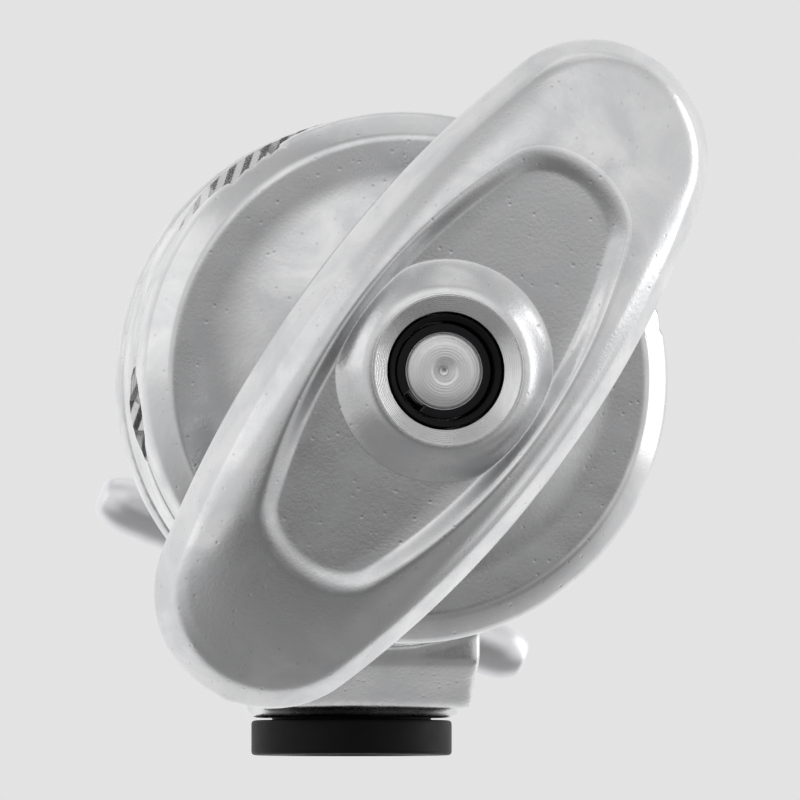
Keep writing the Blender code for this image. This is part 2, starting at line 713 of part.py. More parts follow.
def lock_screw(steel, brass, screw):
    """The T-screw that locks the receiver on its stud, with its cross bar and pressure pad."""
    shoulder = PAD_FACE + PAD_LENGTH + GAP
    body = turned(
        "lock_screw",
        (
            (0, shoulder - NOSE_LENGTH),
            (NOSE_RADIUS - FINE_EDGE, shoulder - NOSE_LENGTH),
            (NOSE_RADIUS, shoulder - NOSE_LENGTH + FINE_EDGE),
            (NOSE_RADIUS, shoulder),
            (SCREW_RADIUS - MACHINED_EDGE, shoulder),
            (SCREW_RADIUS, shoulder + MACHINED_EDGE),
            (SCREW_RADIUS, SCREW_HEAD_START),
            (SCREW_HEAD_RADIUS - MACHINED_EDGE, SCREW_HEAD_START),
            (SCREW_HEAD_RADIUS, SCREW_HEAD_START + MACHINED_EDGE),
            (SCREW_HEAD_RADIUS, SCREW_HEAD_END - CAST_EDGE),
            (SCREW_HEAD_RADIUS - CAST_EDGE, SCREW_HEAD_END),
            (0, SCREW_HEAD_END),
        ),
        SMALL_ROUND,
        steel,
        screw,
    )
    bar_centre = (0, 0, (SCREW_HEAD_START + SCREW_HEAD_END) / 2)
    bar_turn = Matrix.Rotation(TBAR_TILT, 4, "Z") @ Matrix.Rotation(math.radians(90), 4, "Y")
    bar_place = Matrix.Translation(bar_centre) @ bar_turn
    hole_reach = SCREW_HEAD_RADIUS + 2 * OVERRUN
    bar_hole = rod("bar_hole", TBAR_RADIUS + GAP, -hole_reach, hole_reach, parent=screw)
    bar_hole.matrix_basis = bar_place
    cut(body, bar_hole)

    round_end = []
    for i in range(TBAR_END_STEPS + 1):
        angle = TURN / 4 * i / TBAR_END_STEPS
        drop = TBAR_END * (1 - math.sin(angle))
        round_end.append((TBAR_RADIUS * math.cos(angle), TBAR_LENGTH / 2 - drop))
    round_end[-1] = (0, TBAR_LENGTH / 2)
    other_end = [(radius, -height) for radius, height in reversed(round_end)]
    bar = turned("lock_tbar", other_end + round_end, SMALL_ROUND, steel, screw)
    bar.matrix_basis = bar_place

    pad_end = PAD_FACE + PAD_LENGTH
    socket_floor = pad_end - NOSE_LENGTH
    turned(
        "pressure_pad",
        (
            (0, PAD_FACE),
            (PAD_RADIUS - FINE_EDGE, PAD_FACE),
            (PAD_RADIUS, PAD_FACE + FINE_EDGE),
            (PAD_RADIUS, pad_end),
            (NOSE_RADIUS + GAP, pad_end),
            (NOSE_RADIUS + GAP, socket_floor),
            (0, socket_floor),
        ),
        SMALL_ROUND,
        brass,
        screw,
    )


def build():
    clear_scene()
    cast = material("cast_aluminium", (0.78, 0.78, 0.79), 0.32, 1.0)
    steel = material("bright_steel", (0.72, 0.72, 0.73), 0.22, 1.0)
    zinc = material("spring_steel", (0.55, 0.55, 0.56), 0.3, 1.0)
    black_steel = material("black_steel", (0.015, 0.015, 0.016), 0.35, 0.6)
    black_nylon = material("black_nylon", (0.012, 0.012, 0.012), 0.5, 0.0)
    fibre = material("friction_fibre", (0.12, 0.08, 0.06), 0.85, 0.0)
    brass = material("brass", (0.78, 0.57, 0.27), 0.3, 1.0)

    mouth = empty("receiver_mouth", (0, 0, -BORE_DEPTH))
    clamp = empty("clamp_axis", (0, 0, CLAMP_HEIGHT), (math.radians(90), 0, 0), mouth)
    jaws = empty("jaw_axis", (0, 0, 0), (0, 0, JAW_TILT), clamp)
    screw = empty("screw_axis", (0, 0, SCREW_HEIGHT), (math.radians(-90), 0, 0), mouth)

    body_casting(cast, mouth, clamp, screw)
    foot_ring(black_nylon, mouth)
    clamp_stud(steel, clamp)
    stud_pin(zinc, clamp)
    friction_front = FRICTION_BACK + FRICTION_THICKNESS
    friction_size = (FRICTION_BORE, FRICTION_RADIUS, FRICTION_BACK, friction_front)
    washer("friction_disc", *friction_size, look=fibre, parent=clamp)
    rear_jaw(cast, jaws)
    front_jaw(cast, jaws)
    jaw_spring(zinc, clamp)
    thrust_bearing(steel, brass, clamp)
    handle_axis = wing_handle(cast, clamp)
    handle_nut(zinc, handle_axis)
    hub_sleeve(black_nylon, handle_axis)
    retaining_ring(black_steel, clamp)
    lock_screw(steel, brass, screw)


build()
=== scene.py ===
import math

import bmesh
import bpy
from mathutils import Matrix, Vector

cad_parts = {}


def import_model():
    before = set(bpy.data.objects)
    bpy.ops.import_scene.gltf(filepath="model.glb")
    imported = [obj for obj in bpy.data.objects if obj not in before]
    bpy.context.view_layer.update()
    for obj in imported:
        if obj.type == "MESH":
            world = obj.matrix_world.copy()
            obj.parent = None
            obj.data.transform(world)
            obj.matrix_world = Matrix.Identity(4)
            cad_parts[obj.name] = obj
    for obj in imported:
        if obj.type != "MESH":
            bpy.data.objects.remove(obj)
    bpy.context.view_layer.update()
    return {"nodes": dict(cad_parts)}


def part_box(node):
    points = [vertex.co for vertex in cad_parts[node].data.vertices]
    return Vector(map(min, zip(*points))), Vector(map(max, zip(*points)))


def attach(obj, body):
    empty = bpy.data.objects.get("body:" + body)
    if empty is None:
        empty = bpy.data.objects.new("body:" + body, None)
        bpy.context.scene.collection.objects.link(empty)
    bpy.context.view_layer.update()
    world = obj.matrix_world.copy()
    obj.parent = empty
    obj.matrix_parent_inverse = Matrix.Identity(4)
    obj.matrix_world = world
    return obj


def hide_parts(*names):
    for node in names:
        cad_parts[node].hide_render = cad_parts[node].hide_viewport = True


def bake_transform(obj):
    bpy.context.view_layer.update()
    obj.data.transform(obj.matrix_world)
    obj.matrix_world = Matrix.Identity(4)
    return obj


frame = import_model()

# Lengths in this script are in millimetres and become metres as each mesh is made.
MM = 0.001
TURN = 2 * math.pi
INCH = 25.4


# ---------------------------------------------------------------- places, read from the CAD


def clamp_span(node):
    """How far a node's back and front faces stand in front of the receiver's axis."""
    low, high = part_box(node)
    return -high.y / MM, -low.y / MM


def half_height(node):
    """The radius of a round node that is turned about a level axis."""
    low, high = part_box(node)
    return (high.z - low.z) / 2 / MM


foot_low, foot_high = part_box("foot_ring")
stud_low, stud_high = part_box("clamp_stud")
tip_low, tip_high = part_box("lock_screw")
# Frames with z up the receiver, forwards along the clamp's axis, and backwards along the screw's
MOUTH = Matrix.Translation((0, 0, foot_low.z))
CLAMP = Matrix.Translation((0, 0, (stud_low.z + stud_high.z) / 2)) @ Matrix.Rotation(TURN / 4, 4, "X")
SCREW = Matrix.Translation((0, 0, (tip_low.z + tip_high.z) / 2)) @ Matrix.Rotation(-TURN / 4, 4, "X")
CLAMP_HEIGHT = (CLAMP.translation.z - foot_low.z) / MM
SCREW_HEIGHT = (SCREW.translation.z - foot_low.z) / MM

# Sizes and places along those axes
DISC_RADIUS = half_height("rear_jaw")
STUD_RADIUS = half_height("clamp_stud")
STUD_BACK, STUD_FRONT = clamp_span("clamp_stud")
FIXED_FACE = clamp_span("body_casting")[1]
FIXED_THICKNESS = 6.5
FIXED_BACK = FIXED_FACE - FIXED_THICKNESS
FRICTION_BACK, FRICTION_FRONT = clamp_span("friction_disc")
REAR_BACK, REAR_FACE = clamp_span("rear_jaw")
FRONT_FACE, FRONT_BOSS = clamp_span("front_jaw")
DOME_RISE = 3.0
FRONT_EDGE = FRONT_BOSS - DOME_RISE
REAR_RACE, REAR_RACE_FRONT = clamp_span("rear_race")
FRONT_RACE, FRONT_RACE_FRONT = clamp_span("front_race")
CAGE_BACK, CAGE_FRONT = clamp_span("roller_cage")
HUB_BACK, HUB_FRONT = clamp_span("wing_handle")
NUT_BACK, NUT_FRONT = clamp_span("handle_nut")
SLEEVE_BACK, SLEEVE_FRONT = clamp_span("hub_sleeve")
RING_BACK, RING_FRONT = clamp_span("retaining_ring")
FOOT_THICKNESS = 4.2
FOOT_RADIUS = (foot_high.x - foot_low.x) / 2 / MM
BORE_RADIUS = 8.15
BORE_DEPTH = 42.0
BARREL_RADIUS = 13.0
BARREL_TOP = 62.0
NECK_HALF_WIDTH = 12.6
GUSSET_RISES = (-13.6, 13.4)
GUSSET_THICKNESS = 3.5
SCREW_BOSS_END = 18.0
PIN_PLANE = 14.0
JAW_BORE = 5.2
JAW_TILT = math.radians(-18.7)
HANDLE_TILT = math.radians(53.3)
STUD_PITCH = INCH / 16
SCREW_PITCH = 1.25
STUD_GROOVE = 0.9
RIM_BEVEL = 3.0
DOME_RADIUS = 25.0
BOSS_RADIUS = 12.4
SPRING_SEAT = 7.6
SEAT_DEPTH = 5.0
RACE_RADIUS = half_height("rear_race")

# Grooves across the jaws' faces: distance from the clamp axis, half width, depth, turn about it
GROOVES = (
    (14.0, 5.1, 3.8, TURN / 2),
    (18.0, 9.73, 6.8, 0.0),
    (16.2, 7.58, 5.4, -TURN / 4),
    (13.0, 3.74, 2.9, TURN / 4),
)
TOOTH_PITCH = 1.5
TOOTH_DEPTH = 0.45
TOOTH_SPREAD = 0.7


# ---------------------------------------------------------------- node materials


SHADER_INPUTS = {
    "colour": "Base Color",
    "rough": "Roughness",
    "metal": "Metallic",
    "normal": "Normal",
    "specular": "Specular IOR Level",
}


class Nodes:
    """A node tree built from nothing; most methods add a node and return its output socket."""

    def __init__(self, owner):
        owner.use_nodes = True
        self.tree = owner.node_tree
        self.tree.nodes.clear()

    def add(self, kind, inputs=(), **settings):
        node = self.tree.nodes.new(kind)
        for key, value in settings.items():
            setattr(node, key, value)
        for key, value in dict(inputs).items():
            if isinstance(value, bpy.types.NodeSocket):
                self.tree.links.new(value, node.inputs[key])
            else:
                node.inputs[key].default_value = value
        return node

    def math(self, operation, first, second=0.0, clamp=False):
        node = self.add("ShaderNodeMath", {0: first, 1: second}, operation=operation, use_clamp=clamp)
        return node.outputs[0]

    def ramp(self, value, *stops, interpolation="LINEAR"):
        """A colour ramp through (position, grey or colour) stops."""
        node = self.add("ShaderNodeValToRGB", {"Fac": value})
        node.color_ramp.interpolation = interpolation
        elements = node.color_ramp.elements
        while len(elements) < len(stops):
            elements.new(0.5)
        for element, (at, grey) in zip(elements, stops):
            element.position = at
            element.color = (grey, grey, grey, 1) if isinstance(grey, (int, float)) else (*grey, 1)
        return node.outputs["Color"]

    def mix(self, factor, first, second):
        node = self.add("ShaderNodeMix", data_type="RGBA")
        for index, value in ((0, factor), (6, first), (7, second)):
            if isinstance(value, bpy.types.NodeSocket):
                self.tree.links.new(value, node.inputs[index])
            elif index:
                node.inputs[index].default_value = (*value, 1)
            else:
                node.inputs[index].default_value = value
        return node.outputs[2]


class Look(Nodes):
    """A procedural material, laid out in the piece's own space."""

    def __init__(self, name):
        self.material = bpy.data.materials.new(name)
        super().__init__(self.material)
        self.place = self.add("ShaderNodeTexCoord").outputs["Object"]

    def stretch(self, scale):
        return self.add("ShaderNodeMapping", {"Vector": self.place, "Scale": scale}).outputs[0]

    def noise(self, size, detail=3.0, roughness=0.55, vector=None, distortion=0.0):
        """Noise with features of about this size in millimetres."""
        values = {
            "Vector": vector or self.place,
            "Scale": 1 / (size * MM),
            "Detail": detail,
            "Roughness": roughness,
            "Distortion": distortion,
        }
        return self.add("ShaderNodeTexNoise", values).outputs["Fac"]

    def cells(self, size):
        values = {"Vector": self.place, "Scale": 1 / (size * MM)}
        return self.add("ShaderNodeTexVoronoi", values, feature="F1").outputs["Distance"]

    def span(self, value, low, high):
        """Maps 0..1 to low..high."""
        values = {"Value": value, "To Min": low, "To Max": high}
        return self.add("ShaderNodeMapRange", values, clamp=True).outputs[0]

    def bump(self, height, depth, normal=None):
        """depth is the height of the relief in millimetres."""
        values = {"Height": height, "Distance": depth * MM, "Strength": 1.0}
        if normal:
            values["Normal"] = normal
        return self.add("ShaderNodeBump", values).outputs[0]

    def edges(self, radius):
        """1 on convex and concave edges, 0 on flat ground."""
        values = {0: self.soft_edges(radius), 1: self.add("ShaderNodeNewGeometry").outputs["Normal"]}
        dot = self.add("ShaderNodeVectorMath", values, operation="DOT_PRODUCT").outputs["Value"]
        return self.math("MULTIPLY", self.math("SUBTRACT", 1.0, dot), 6.0, clamp=True)

    def soft_edges(self, radius):
        """The surface's normal with its edges rounded by a radius in millimetres."""
        return self.add("ShaderNodeBevel", {"Radius": radius * MM}, samples=6).outputs[0]

    def radius(self):
        """Distance from the piece's own z axis, in metres."""
        flat = self.stretch((1, 1, 0))
        return self.add("ShaderNodeVectorMath", {0: flat}, operation="LENGTH").outputs["Value"]

    def finish(self, **values):
        shader = self.add("ShaderNodeBsdfPrincipled")
        for key, value in values.items():
            socket = shader.inputs[SHADER_INPUTS[key]]
            if isinstance(value, bpy.types.NodeSocket):
                self.tree.links.new(value, socket)
            else:
                socket.default_value = (*value, 1) if isinstance(value, tuple) else value
        self.add("ShaderNodeOutputMaterial", {"Surface": shader.outputs[0]})
        return self.material


def cast_metal(name, tone=0.74, rough=(0.3, 0.46), grain=0.02, undulation=0.05):
    """Tumbled die-cast aluminium: a fine grain, soft waves, dull cloudy patches, rubbed edges."""
    look = Look(name)
    cloud = look.noise(7.0, 4.0, 0.6, distortion=0.6)
    fine = look.noise(0.45, 3.0, 0.6)
    wave = look.noise(5.5, 1.0, 0.4)
    pits = look.ramp(look.cells(1.7), (0.0, 1.0), (0.09, 0.35), (0.16, 0.0))
    edge = look.math("MULTIPLY", look.edges(0.9), look.span(look.noise(1.4, 4.0), 0.5, 1.2), clamp=True)
    dull = look.ramp(cloud, (0.34, 0.0), (0.66, 1.0))
    base = look.mix(dull, (tone, tone, tone * 1.01), (tone * 0.86, tone * 0.865, tone * 0.88))
    base = look.mix(look.math("MULTIPLY", pits, 0.35), base, (0.32, 0.32, 0.33))
    base = look.mix(edge, base, (0.86, 0.86, 0.86))
    roughness = look.math("ADD", look.span(dull, rough[0], rough[1]), look.span(fine, -0.04, 0.04))
    roughness = look.math("SUBTRACT", roughness, look.math("MULTIPLY", edge, 0.1))
    normal = look.bump(wave, undulation, look.soft_edges(0.3))
    normal = look.bump(fine, grain, normal)
    normal = look.bump(look.math("MULTIPLY", pits, -1.0), 0.03, normal)
    return look.finish(colour=base, rough=roughness, metal=1.0, normal=normal)


def turned_metal(name, tone=0.8, rough=0.2, spacing=0.22):
    """Lathe-turned aluminium: fine rings about the piece's axis, with a few handling scratches."""
    look = Look(name)
    away = look.math("MULTIPLY", look.radius(), TURN / (spacing * MM))
    wobble = look.noise(0.8, 2.0)
    rings = look.math("SINE", look.math("ADD", away, look.math("MULTIPLY", wobble, 5.0)))
    smear = look.noise(2.5, 3.0)
    streaks = look.noise(0.35, 2.0, vector=look.stretch((1, 14, 3)))
    scratch = look.ramp(streaks, (0.66, 0.0), (0.7, 1.0))
    dull = (tone * 0.9, tone * 0.9, tone * 0.91)
    colour = look.mix(look.span(smear, 0.0, 1.0), (tone, tone, tone), dull)
    scuffed = look.math("MULTIPLY", scratch, 0.15)
    roughness = look.math("ADD", look.span(smear, rough, rough + 0.12), scuffed)
    normal = look.bump(rings, 0.006, look.soft_edges(0.2))
    normal = look.bump(scratch, 0.01, normal)
    return look.finish(colour=colour, rough=roughness, metal=1.0, normal=normal)


def plated_steel(name, tone=0.7, rough=0.12, tint=(1.0, 1.0, 1.02)):
    """Bright nickel-chrome plate over turned steel, rubbed and finely scratched."""
    look = Look(name)
    smear = look.noise(4.0, 4.0, distortion=0.8)
    hair = look.ramp(look.noise(0.3, 2.0, vector=look.stretch((1, 1, 16))), (0.62, 0.0), (0.7, 1.0))
    colour = tuple(tone * t for t in tint)
    worn = look.mix(look.span(smear, 0.0, 0.6), colour, tuple(c * 0.85 for c in colour))
    roughness = look.math("ADD", look.span(smear, rough, rough + 0.14), look.math("MULTIPLY", hair, 0.12))
    normal = look.bump(smear, 0.01, look.soft_edges(0.15))
    normal = look.bump(hair, 0.006, normal)
    return look.finish(colour=worn, rough=roughness, metal=1.0, normal=normal)


def dull_steel(name, tone=0.5):
    """Bare spring steel under an uneven film of oil."""
    look = Look(name)
    oil = look.noise(2.2, 4.0, distortion=0.5)
    oily = (tone * 0.6, tone * 0.58, tone * 0.55)
    colour = look.mix(look.span(oil, 0.0, 1.0), (tone, tone, tone * 1.02), oily)
    normal = look.bump(look.noise(0.3, 2.0), 0.01, look.soft_edges(0.12))
    return look.finish(colour=colour, rough=look.span(oil, 0.2, 0.42), metal=1.0, normal=normal)


def black_oxide(name):
    """Blackened steel with rubbed edges."""
    look = Look(name)
    rub = look.math("MULTIPLY", look.edges(0.25), look.span(look.noise(0.8, 3.0), 0.0, 0.9), clamp=True)
    colour = look.mix(rub, (0.012, 0.012, 0.014), (0.2, 0.2, 0.2))
    normal = look.bump(look.noise(0.25, 2.0), 0.01, look.soft_edges(0.1))
    rough = look.span(look.noise(1.5), 0.3, 0.5)
    return look.finish(colour=colour, rough=rough, metal=0.7, normal=normal)


def nylon(name, tone=0.0025):
    """Black moulded nylon: slightly blotchy sheen, a fine moulded grain and scuffed edges."""
    look = Look(name)
    scuff = look.math("MULTIPLY", look.edges(0.4), look.span(look.noise(0.9, 4.0), 0.0, 0.8), clamp=True)
    colour = look.mix(scuff, (tone, tone, tone * 1.05), (0.025, 0.025, 0.025))
    rough = look.span(look.noise(2.0, 4.0), 0.42, 0.62)
    normal = look.bump(look.noise(0.3, 2.0), 0.015, look.soft_edges(0.15))
    return look.finish(colour=colour, rough=rough, metal=0.0, normal=normal, specular=0.16)


def lining(name):
    """Pressed friction lining: brown-black fibre with pale and brassy flecks."""
    look = Look(name)
    fleck = look.ramp(look.cells(0.7), (0.0, 1.0), (0.2, 0.0))
    fibre = look.noise(0.5, 4.0, vector=look.stretch((1, 1, 6)))
    colour = look.mix(look.span(fibre, 0.0, 1.0), (0.05, 0.035, 0.028), (0.16, 0.11, 0.08))
    colour = look.mix(look.math("MULTIPLY", fleck, 0.6), colour, (0.42, 0.33, 0.2))
    normal = look.bump(fibre, 0.06)
    return look.finish(colour=colour, rough=0.82, metal=0.0, normal=normal)


def brass(name):
    """Brass with a patchy tarnish."""
    look = Look(name)
    tarnish = look.noise(3.0, 5.0, distortion=0.7)
    colour = look.mix(look.span(tarnish, 0.0, 1.0), (0.75, 0.52, 0.22), (0.46, 0.3, 0.13))
    normal = look.bump(look.noise(0.3, 2.0), 0.012, look.soft_edges(0.12))
    rough = look.span(tarnish, 0.22, 0.45)
    return look.finish(colour=colour, rough=rough, metal=1.0, normal=normal)


def floor_look(name):
    look = Look(name)
    soft = look.noise(90.0, 3.0)
    colour = look.mix(look.span(soft, 0.0, 1.0), (0.8, 0.8, 0.8), (0.78, 0.78, 0.78))
    return look.finish(colour=colour, rough=0.75, metal=0.0, specular=0.2)


CAST = cast_metal("cast_aluminium", rough=(0.2, 0.34))
CAST_JAW = cast_metal("cast_aluminium_jaw", 0.74, (0.2, 0.34), 0.015, 0.08)
POLISHED = cast_metal("rubbed_aluminium", 0.84, (0.16, 0.26), 0.008, 0.02)
JAW_RIM = cast_metal("turned_rim_aluminium", 0.7, (0.18, 0.28), 0.008, 0.02)
TURNED = turned_metal("turned_aluminium")
FACED = turned_metal("faced_stud_end", 0.9, 0.42, 0.35)
PLATED = plated_steel("plated_steel")
SATIN = plated_steel("satin_plated_steel", 0.86, 0.3)
STEEL = dull_steel("bare_steel")
GROUND = plated_steel("ground_steel", 0.66, 0.1)
OXIDE = black_oxide("black_oxide")
NYLON = nylon("black_nylon")
LINING = lining("friction_lining")
BRASS = brass("brass")


# ---------------------------------------------------------------- mesh helpers


def piece(name, bm, matrix, looks, body=None, replaces=(), sharp=32, stand=None):
    """Links a mesh made in millimetres and places it with the frame it was modelled in.

    A piece modelled at an angle stands in a square frame, so that its own box is a tight one.
    """
    bmesh.ops.recalc_face_normals(bm, faces=bm.faces)
    bmesh.ops.scale(bm, vec=(MM, MM, MM), verts=bm.verts)
    if stand:
        bm.transform(stand.inverted() @ matrix)
        matrix = stand
    mesh = bpy.data.meshes.new(name)
    bm.to_mesh(mesh)
    bm.free()
    for look in looks:
        mesh.materials.append(look)
    obj = bpy.data.objects.new(name, mesh)
    bpy.context.scene.collection.objects.link(obj)
    obj.matrix_world = matrix
    shade(obj, sharp)
    if body:
        settle(obj, body, replaces)
    return obj


def settle(obj, body, replaces):
    """Hands a finished piece over: its body and the nodes that it stands for."""
    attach(obj, body)
    if replaces:
        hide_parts(*replaces)


def shade(obj, sharp=32):
    obj.data.shade_smooth()
    obj.data.set_sharp_from_angle(angle=math.radians(sharp))


def bake(obj):
    """Applies the object's modifiers."""
    bpy.context.view_layer.update()
    evaluated = obj.evaluated_get(bpy.context.evaluated_depsgraph_get())
    mesh = bpy.data.meshes.new_from_object(evaluated)
    old = obj.data
    obj.modifiers.clear()
    obj.data = mesh
    bpy.data.meshes.remove(old)


def combine(target, others, operation="DIFFERENCE"):
    """Cuts the other objects out of the target, or joins them on, and removes them."""
    for other in others:
        modifier = target.modifiers.new(other.name, "BOOLEAN")
        modifier.operation = operation
        modifier.solver = "MANIFOLD"
        modifier.object = other
        bake(target)
        bpy.data.objects.remove(other)


def rounded(points, closed=False, steps=4):
    """Turns (x, y, fillet) corners into a path with rounded corners."""
    path = []
    count = len(points)
    for i, (x, y, fillet) in enumerate(points):
        here = Vector((x, y))
        if not fillet or (not closed and i in (0, count - 1)):
            path.append(here)
            continue
        before = Vector(points[i - 1][:2]) - here
        after = Vector(points[(i + 1) % count][:2]) - here
        start = here + before.normalized() * min(fillet, before.length * 0.48)
        end = here + after.normalized() * min(fillet, after.length * 0.48)
        for k in range(steps + 1):
            t = k / steps
            path.append(start * (1 - t) ** 2 + here * 2 * t * (1 - t) + end * t * t)
    return path


def join_rings(bm, rings, slot_of=None):
    """Faces between each ring of vertices and the next; a ring may be a single point."""
    for first, second in zip(rings, rings[1:]):
        count = max(len(first), len(second))
        for i in range(count):
            j = (i + 1) % count
            one, two = first[i % len(first)], first[j % len(first)]
            three, four = second[j % len(second)], second[i % len(second)]
            corners = list(dict.fromkeys((one, two, three, four)))
            if len(corners) < 3:
                continue
            face = bm.faces.new(corners)
            if slot_of:
                face.material_index = slot_of(face.calc_center_median())


def revolve(points, sides=160, closed=False, slot_of=None, bm=None, matrix=None):
    """A surface turned about z from (radius, z, fillet) corners."""
    bm = bm or bmesh.new()
    rings = []
    for radius, z in rounded(points, closed):
        if radius < 1e-6:
            rings.append([Vector((0, 0, z))])
        else:
            angles = [TURN * i / sides for i in range(sides)]
            rings.append([Vector((radius * math.cos(a), radius * math.sin(a), z)) for a in angles])
    if matrix:
        rings = [[matrix @ p for p in ring] for ring in rings]
    rings = [[bm.verts.new(p) for p in ring] for ring in rings]
    if closed:
        rings.append(rings[0])
    join_rings(bm, rings, slot_of)
    return bm


def prism(outline, low, high, bm=None, matrix=None, slot=0):
    """An outline of (x, y) corners drawn out between two heights."""
    bm = bm or bmesh.new()
    matrix = matrix or Matrix.Identity(4)
    rings = [[bm.verts.new(matrix @ Vector((x, y, z))) for x, y in outline] for z in (low, high)]
    join_rings(bm, rings)
    bm.faces.new(rings[0])
    bm.faces.new(rings[1])
    for face in bm.faces:
        face.material_index = slot
    return bm


def rod(radius, low, high, sides=64, slot=0):
    """A plain cylinder along z, whose faces take a material slot; used as a cutter."""
    points = ((0, low, 0), (radius, low, 0), (radius, high, 0), (0, high, 0))
    return revolve(points, sides, slot_of=lambda p: slot)


def tool(name, bm, matrix):
    """A cutter, or a shape to join on, placed in one of the frames."""
    return piece(name, bm, matrix, ())


def ring_points(inner, outer, back, front, edge=0.2):
    """The closed section of a plain ring with rounded edges."""
    return (inner, back, edge), (outer, back, edge), (outer, front, edge), (inner, front, edge)


def threaded(points, pitch, low, high, depth, sides=56):
    """A turned rod with a right-hand thread cut between two heights; points as for revolve."""
    bm = bmesh.new()
    path = rounded(points)
    levels = []
    for first, second in zip(path, path[1:]):
        rise = second.y - first.y
        count = math.ceil(rise / (pitch / 12)) if rise > pitch / 2 else 1
        for k in range(count):
            t = k / count
            levels.append((first.y + rise * t, first.x + (second.x - first.x) * t))
    levels.append((path[-1].y, path[-1].x))
    rings = []
    for z, radius in levels:
        if radius < 1e-6:
            rings.append([bm.verts.new((0, 0, z))])
            continue
        fade = min(1, max(0, (z - low) / pitch)) * min(1, max(0, (high - z) / pitch))
        ring = []
        for i in range(sides):
            angle = TURN * i / sides
            phase = (z / pitch - i / sides) % 1
            # a V with its crest and its root cut flat
            wave = min(1, max(0, abs(2 * phase - 1) * 1.3 - 0.15))
            r = radius - depth * wave * fade
            ring.append(bm.verts.new((r * math.cos(angle), r * math.sin(angle), z)))
        rings.append(ring)
    join_rings(bm, rings)
    return bm


# ---------------------------------------------------------------- body

VOXEL = 0.55
FILLET_PASSES = 14
PIN_HALF_LENGTH = 11.9
PIN_HOLE = 1.75
FOOT_BORE = 8.3
FOOT_COLLAR = 9.6
FOOT_COLLAR_TOP = 8.0


def across_neck(aside, turn):
    """A frame on the pin's axis, at a distance to one side, with z across the neck."""
    return CLAMP @ Matrix.Translation((aside * MM, 0, PIN_PLANE * MM)) @ Matrix.Rotation(turn, 4, "Y")


def body_casting():
    """Fixed disc, neck, barrel, gussets and screw boss melted into one casting, then machined."""
    disc = (
        (0, FIXED_BACK, 0),
        (22, FIXED_BACK, 0.5),
        (24, FIXED_BACK + 1.1, 0.5),
        (28, FIXED_BACK + 1.1, 0.8),
        (28.8, FIXED_BACK + 0.1, 0.6),
        (DISC_RADIUS - 1.2, FIXED_BACK + 0.1, 1.2),
        (DISC_RADIUS, FIXED_BACK + 1.6, 1.2),
        (DISC_RADIUS, FIXED_FACE, 0.6),
        (0, FIXED_FACE, 0),
    )
    to_mouth = Matrix.Translation((0, 0, CLAMP_HEIGHT)) @ Matrix.Rotation(TURN / 4, 4, "X")
    bm = revolve(disc, 128, matrix=to_mouth)
    bottom = FOOT_THICKNESS + 0.3
    barrel = (
        (0, bottom, 0),
        (BARREL_RADIUS, bottom, 1.0),
        (BARREL_RADIUS, BARREL_TOP - 2.4, 4.0),
        (BARREL_RADIUS - 5, BARREL_TOP, 2.5),
        (0, BARREL_TOP, 0),
    )
    revolve(barrel, 96, bm=bm)
    # the neck seen from the side, drawn out sideways
    neck = ((-20.5, bottom + 6.5), (-20.5, 56), (-3, 57), (-3, bottom + 1), (-14.5, bottom + 1))
    side = Matrix(((0, 0, 1, 0), (1, 0, 0, 0), (0, 1, 0, 0), (0, 0, 0, 1)))
    prism(neck, -NECK_HALF_WIDTH, NECK_HALF_WIDTH, bm, side)
    for x in (-1, 1):
        for rise in GUSSET_RISES:
            # a gusset seen from above
            plan = [(x * 9, -2), (x * 26.5, -16), (x * 26.5, -19), (x * 9, -19)]
            middle = CLAMP_HEIGHT + rise
            prism(plan, middle - GUSSET_THICKNESS / 2, middle + GUSSET_THICKNESS / 2, bm)
    to_screw = Matrix.Translation((0, 0, SCREW_HEIGHT)) @ Matrix.Rotation(-TURN / 4, 4, "X")
    boss = ((0, 4, 0), (8.6, 4, 0), (8.0, SCREW_BOSS_END + 0.2, 1.2), (0, SCREW_BOSS_END + 0.2, 0))
    revolve(boss, 72, bm=bm, matrix=to_screw)
    body = piece("body_casting_v", bm, MOUTH, (CAST, TURNED))
    remesh = body.modifiers.new("melt", "REMESH")
    remesh.mode = "VOXEL"
    remesh.voxel_size = VOXEL * MM
    smooth = body.modifiers.new("fillets", "SMOOTH")
    smooth.factor = 0.5
    smooth.iterations = FILLET_PASSES
    bake(body)

    # machined bores, faces and the lining's recess, all in turned metal
    cutters = (
        ("receiver", rod(BORE_RADIUS, -2, BORE_DEPTH, 96, 1), MOUTH),
        ("seat", rod(FOOT_COLLAR + 0.3, -2, FOOT_COLLAR_TOP + 0.3, 96, 1), MOUTH),
        ("mouth", rod(40, -2, bottom, 32, 1), MOUTH),
        ("recess", rod(23.4, FIXED_FACE - 1.2, FIXED_FACE + 4, 160, 1), CLAMP),
        ("face", rod(60, FIXED_FACE - 0.02, FIXED_FACE + 8, 16, 1), CLAMP),
        ("stud_hole", rod(STUD_RADIUS + 0.25, STUD_BACK - 0.3, FIXED_FACE + 4, 64, 1), CLAMP),
        ("screw_hole", rod(4.25, 0, 24, 64, 1), SCREW),
        ("screw_face", rod(12, SCREW_BOSS_END, 24, 32, 1), SCREW),
    )
    combine(body, [tool(name, bm, matrix) for name, bm, matrix in cutters])
    combine(body, [tool("pin_hole", rod(PIN_HOLE, -20, 20, 32, 1), across_neck(0, TURN / 4))])
    for x in (-1, 1):
        spot_face = rod(3.2, 0, 6, 48, 1)
        combine(body, [tool("spot_face", spot_face, across_neck(x * 12.3, x * TURN / 4))])
    shade(body, 28)
    settle(body, "body", ["body_casting"])
    return body


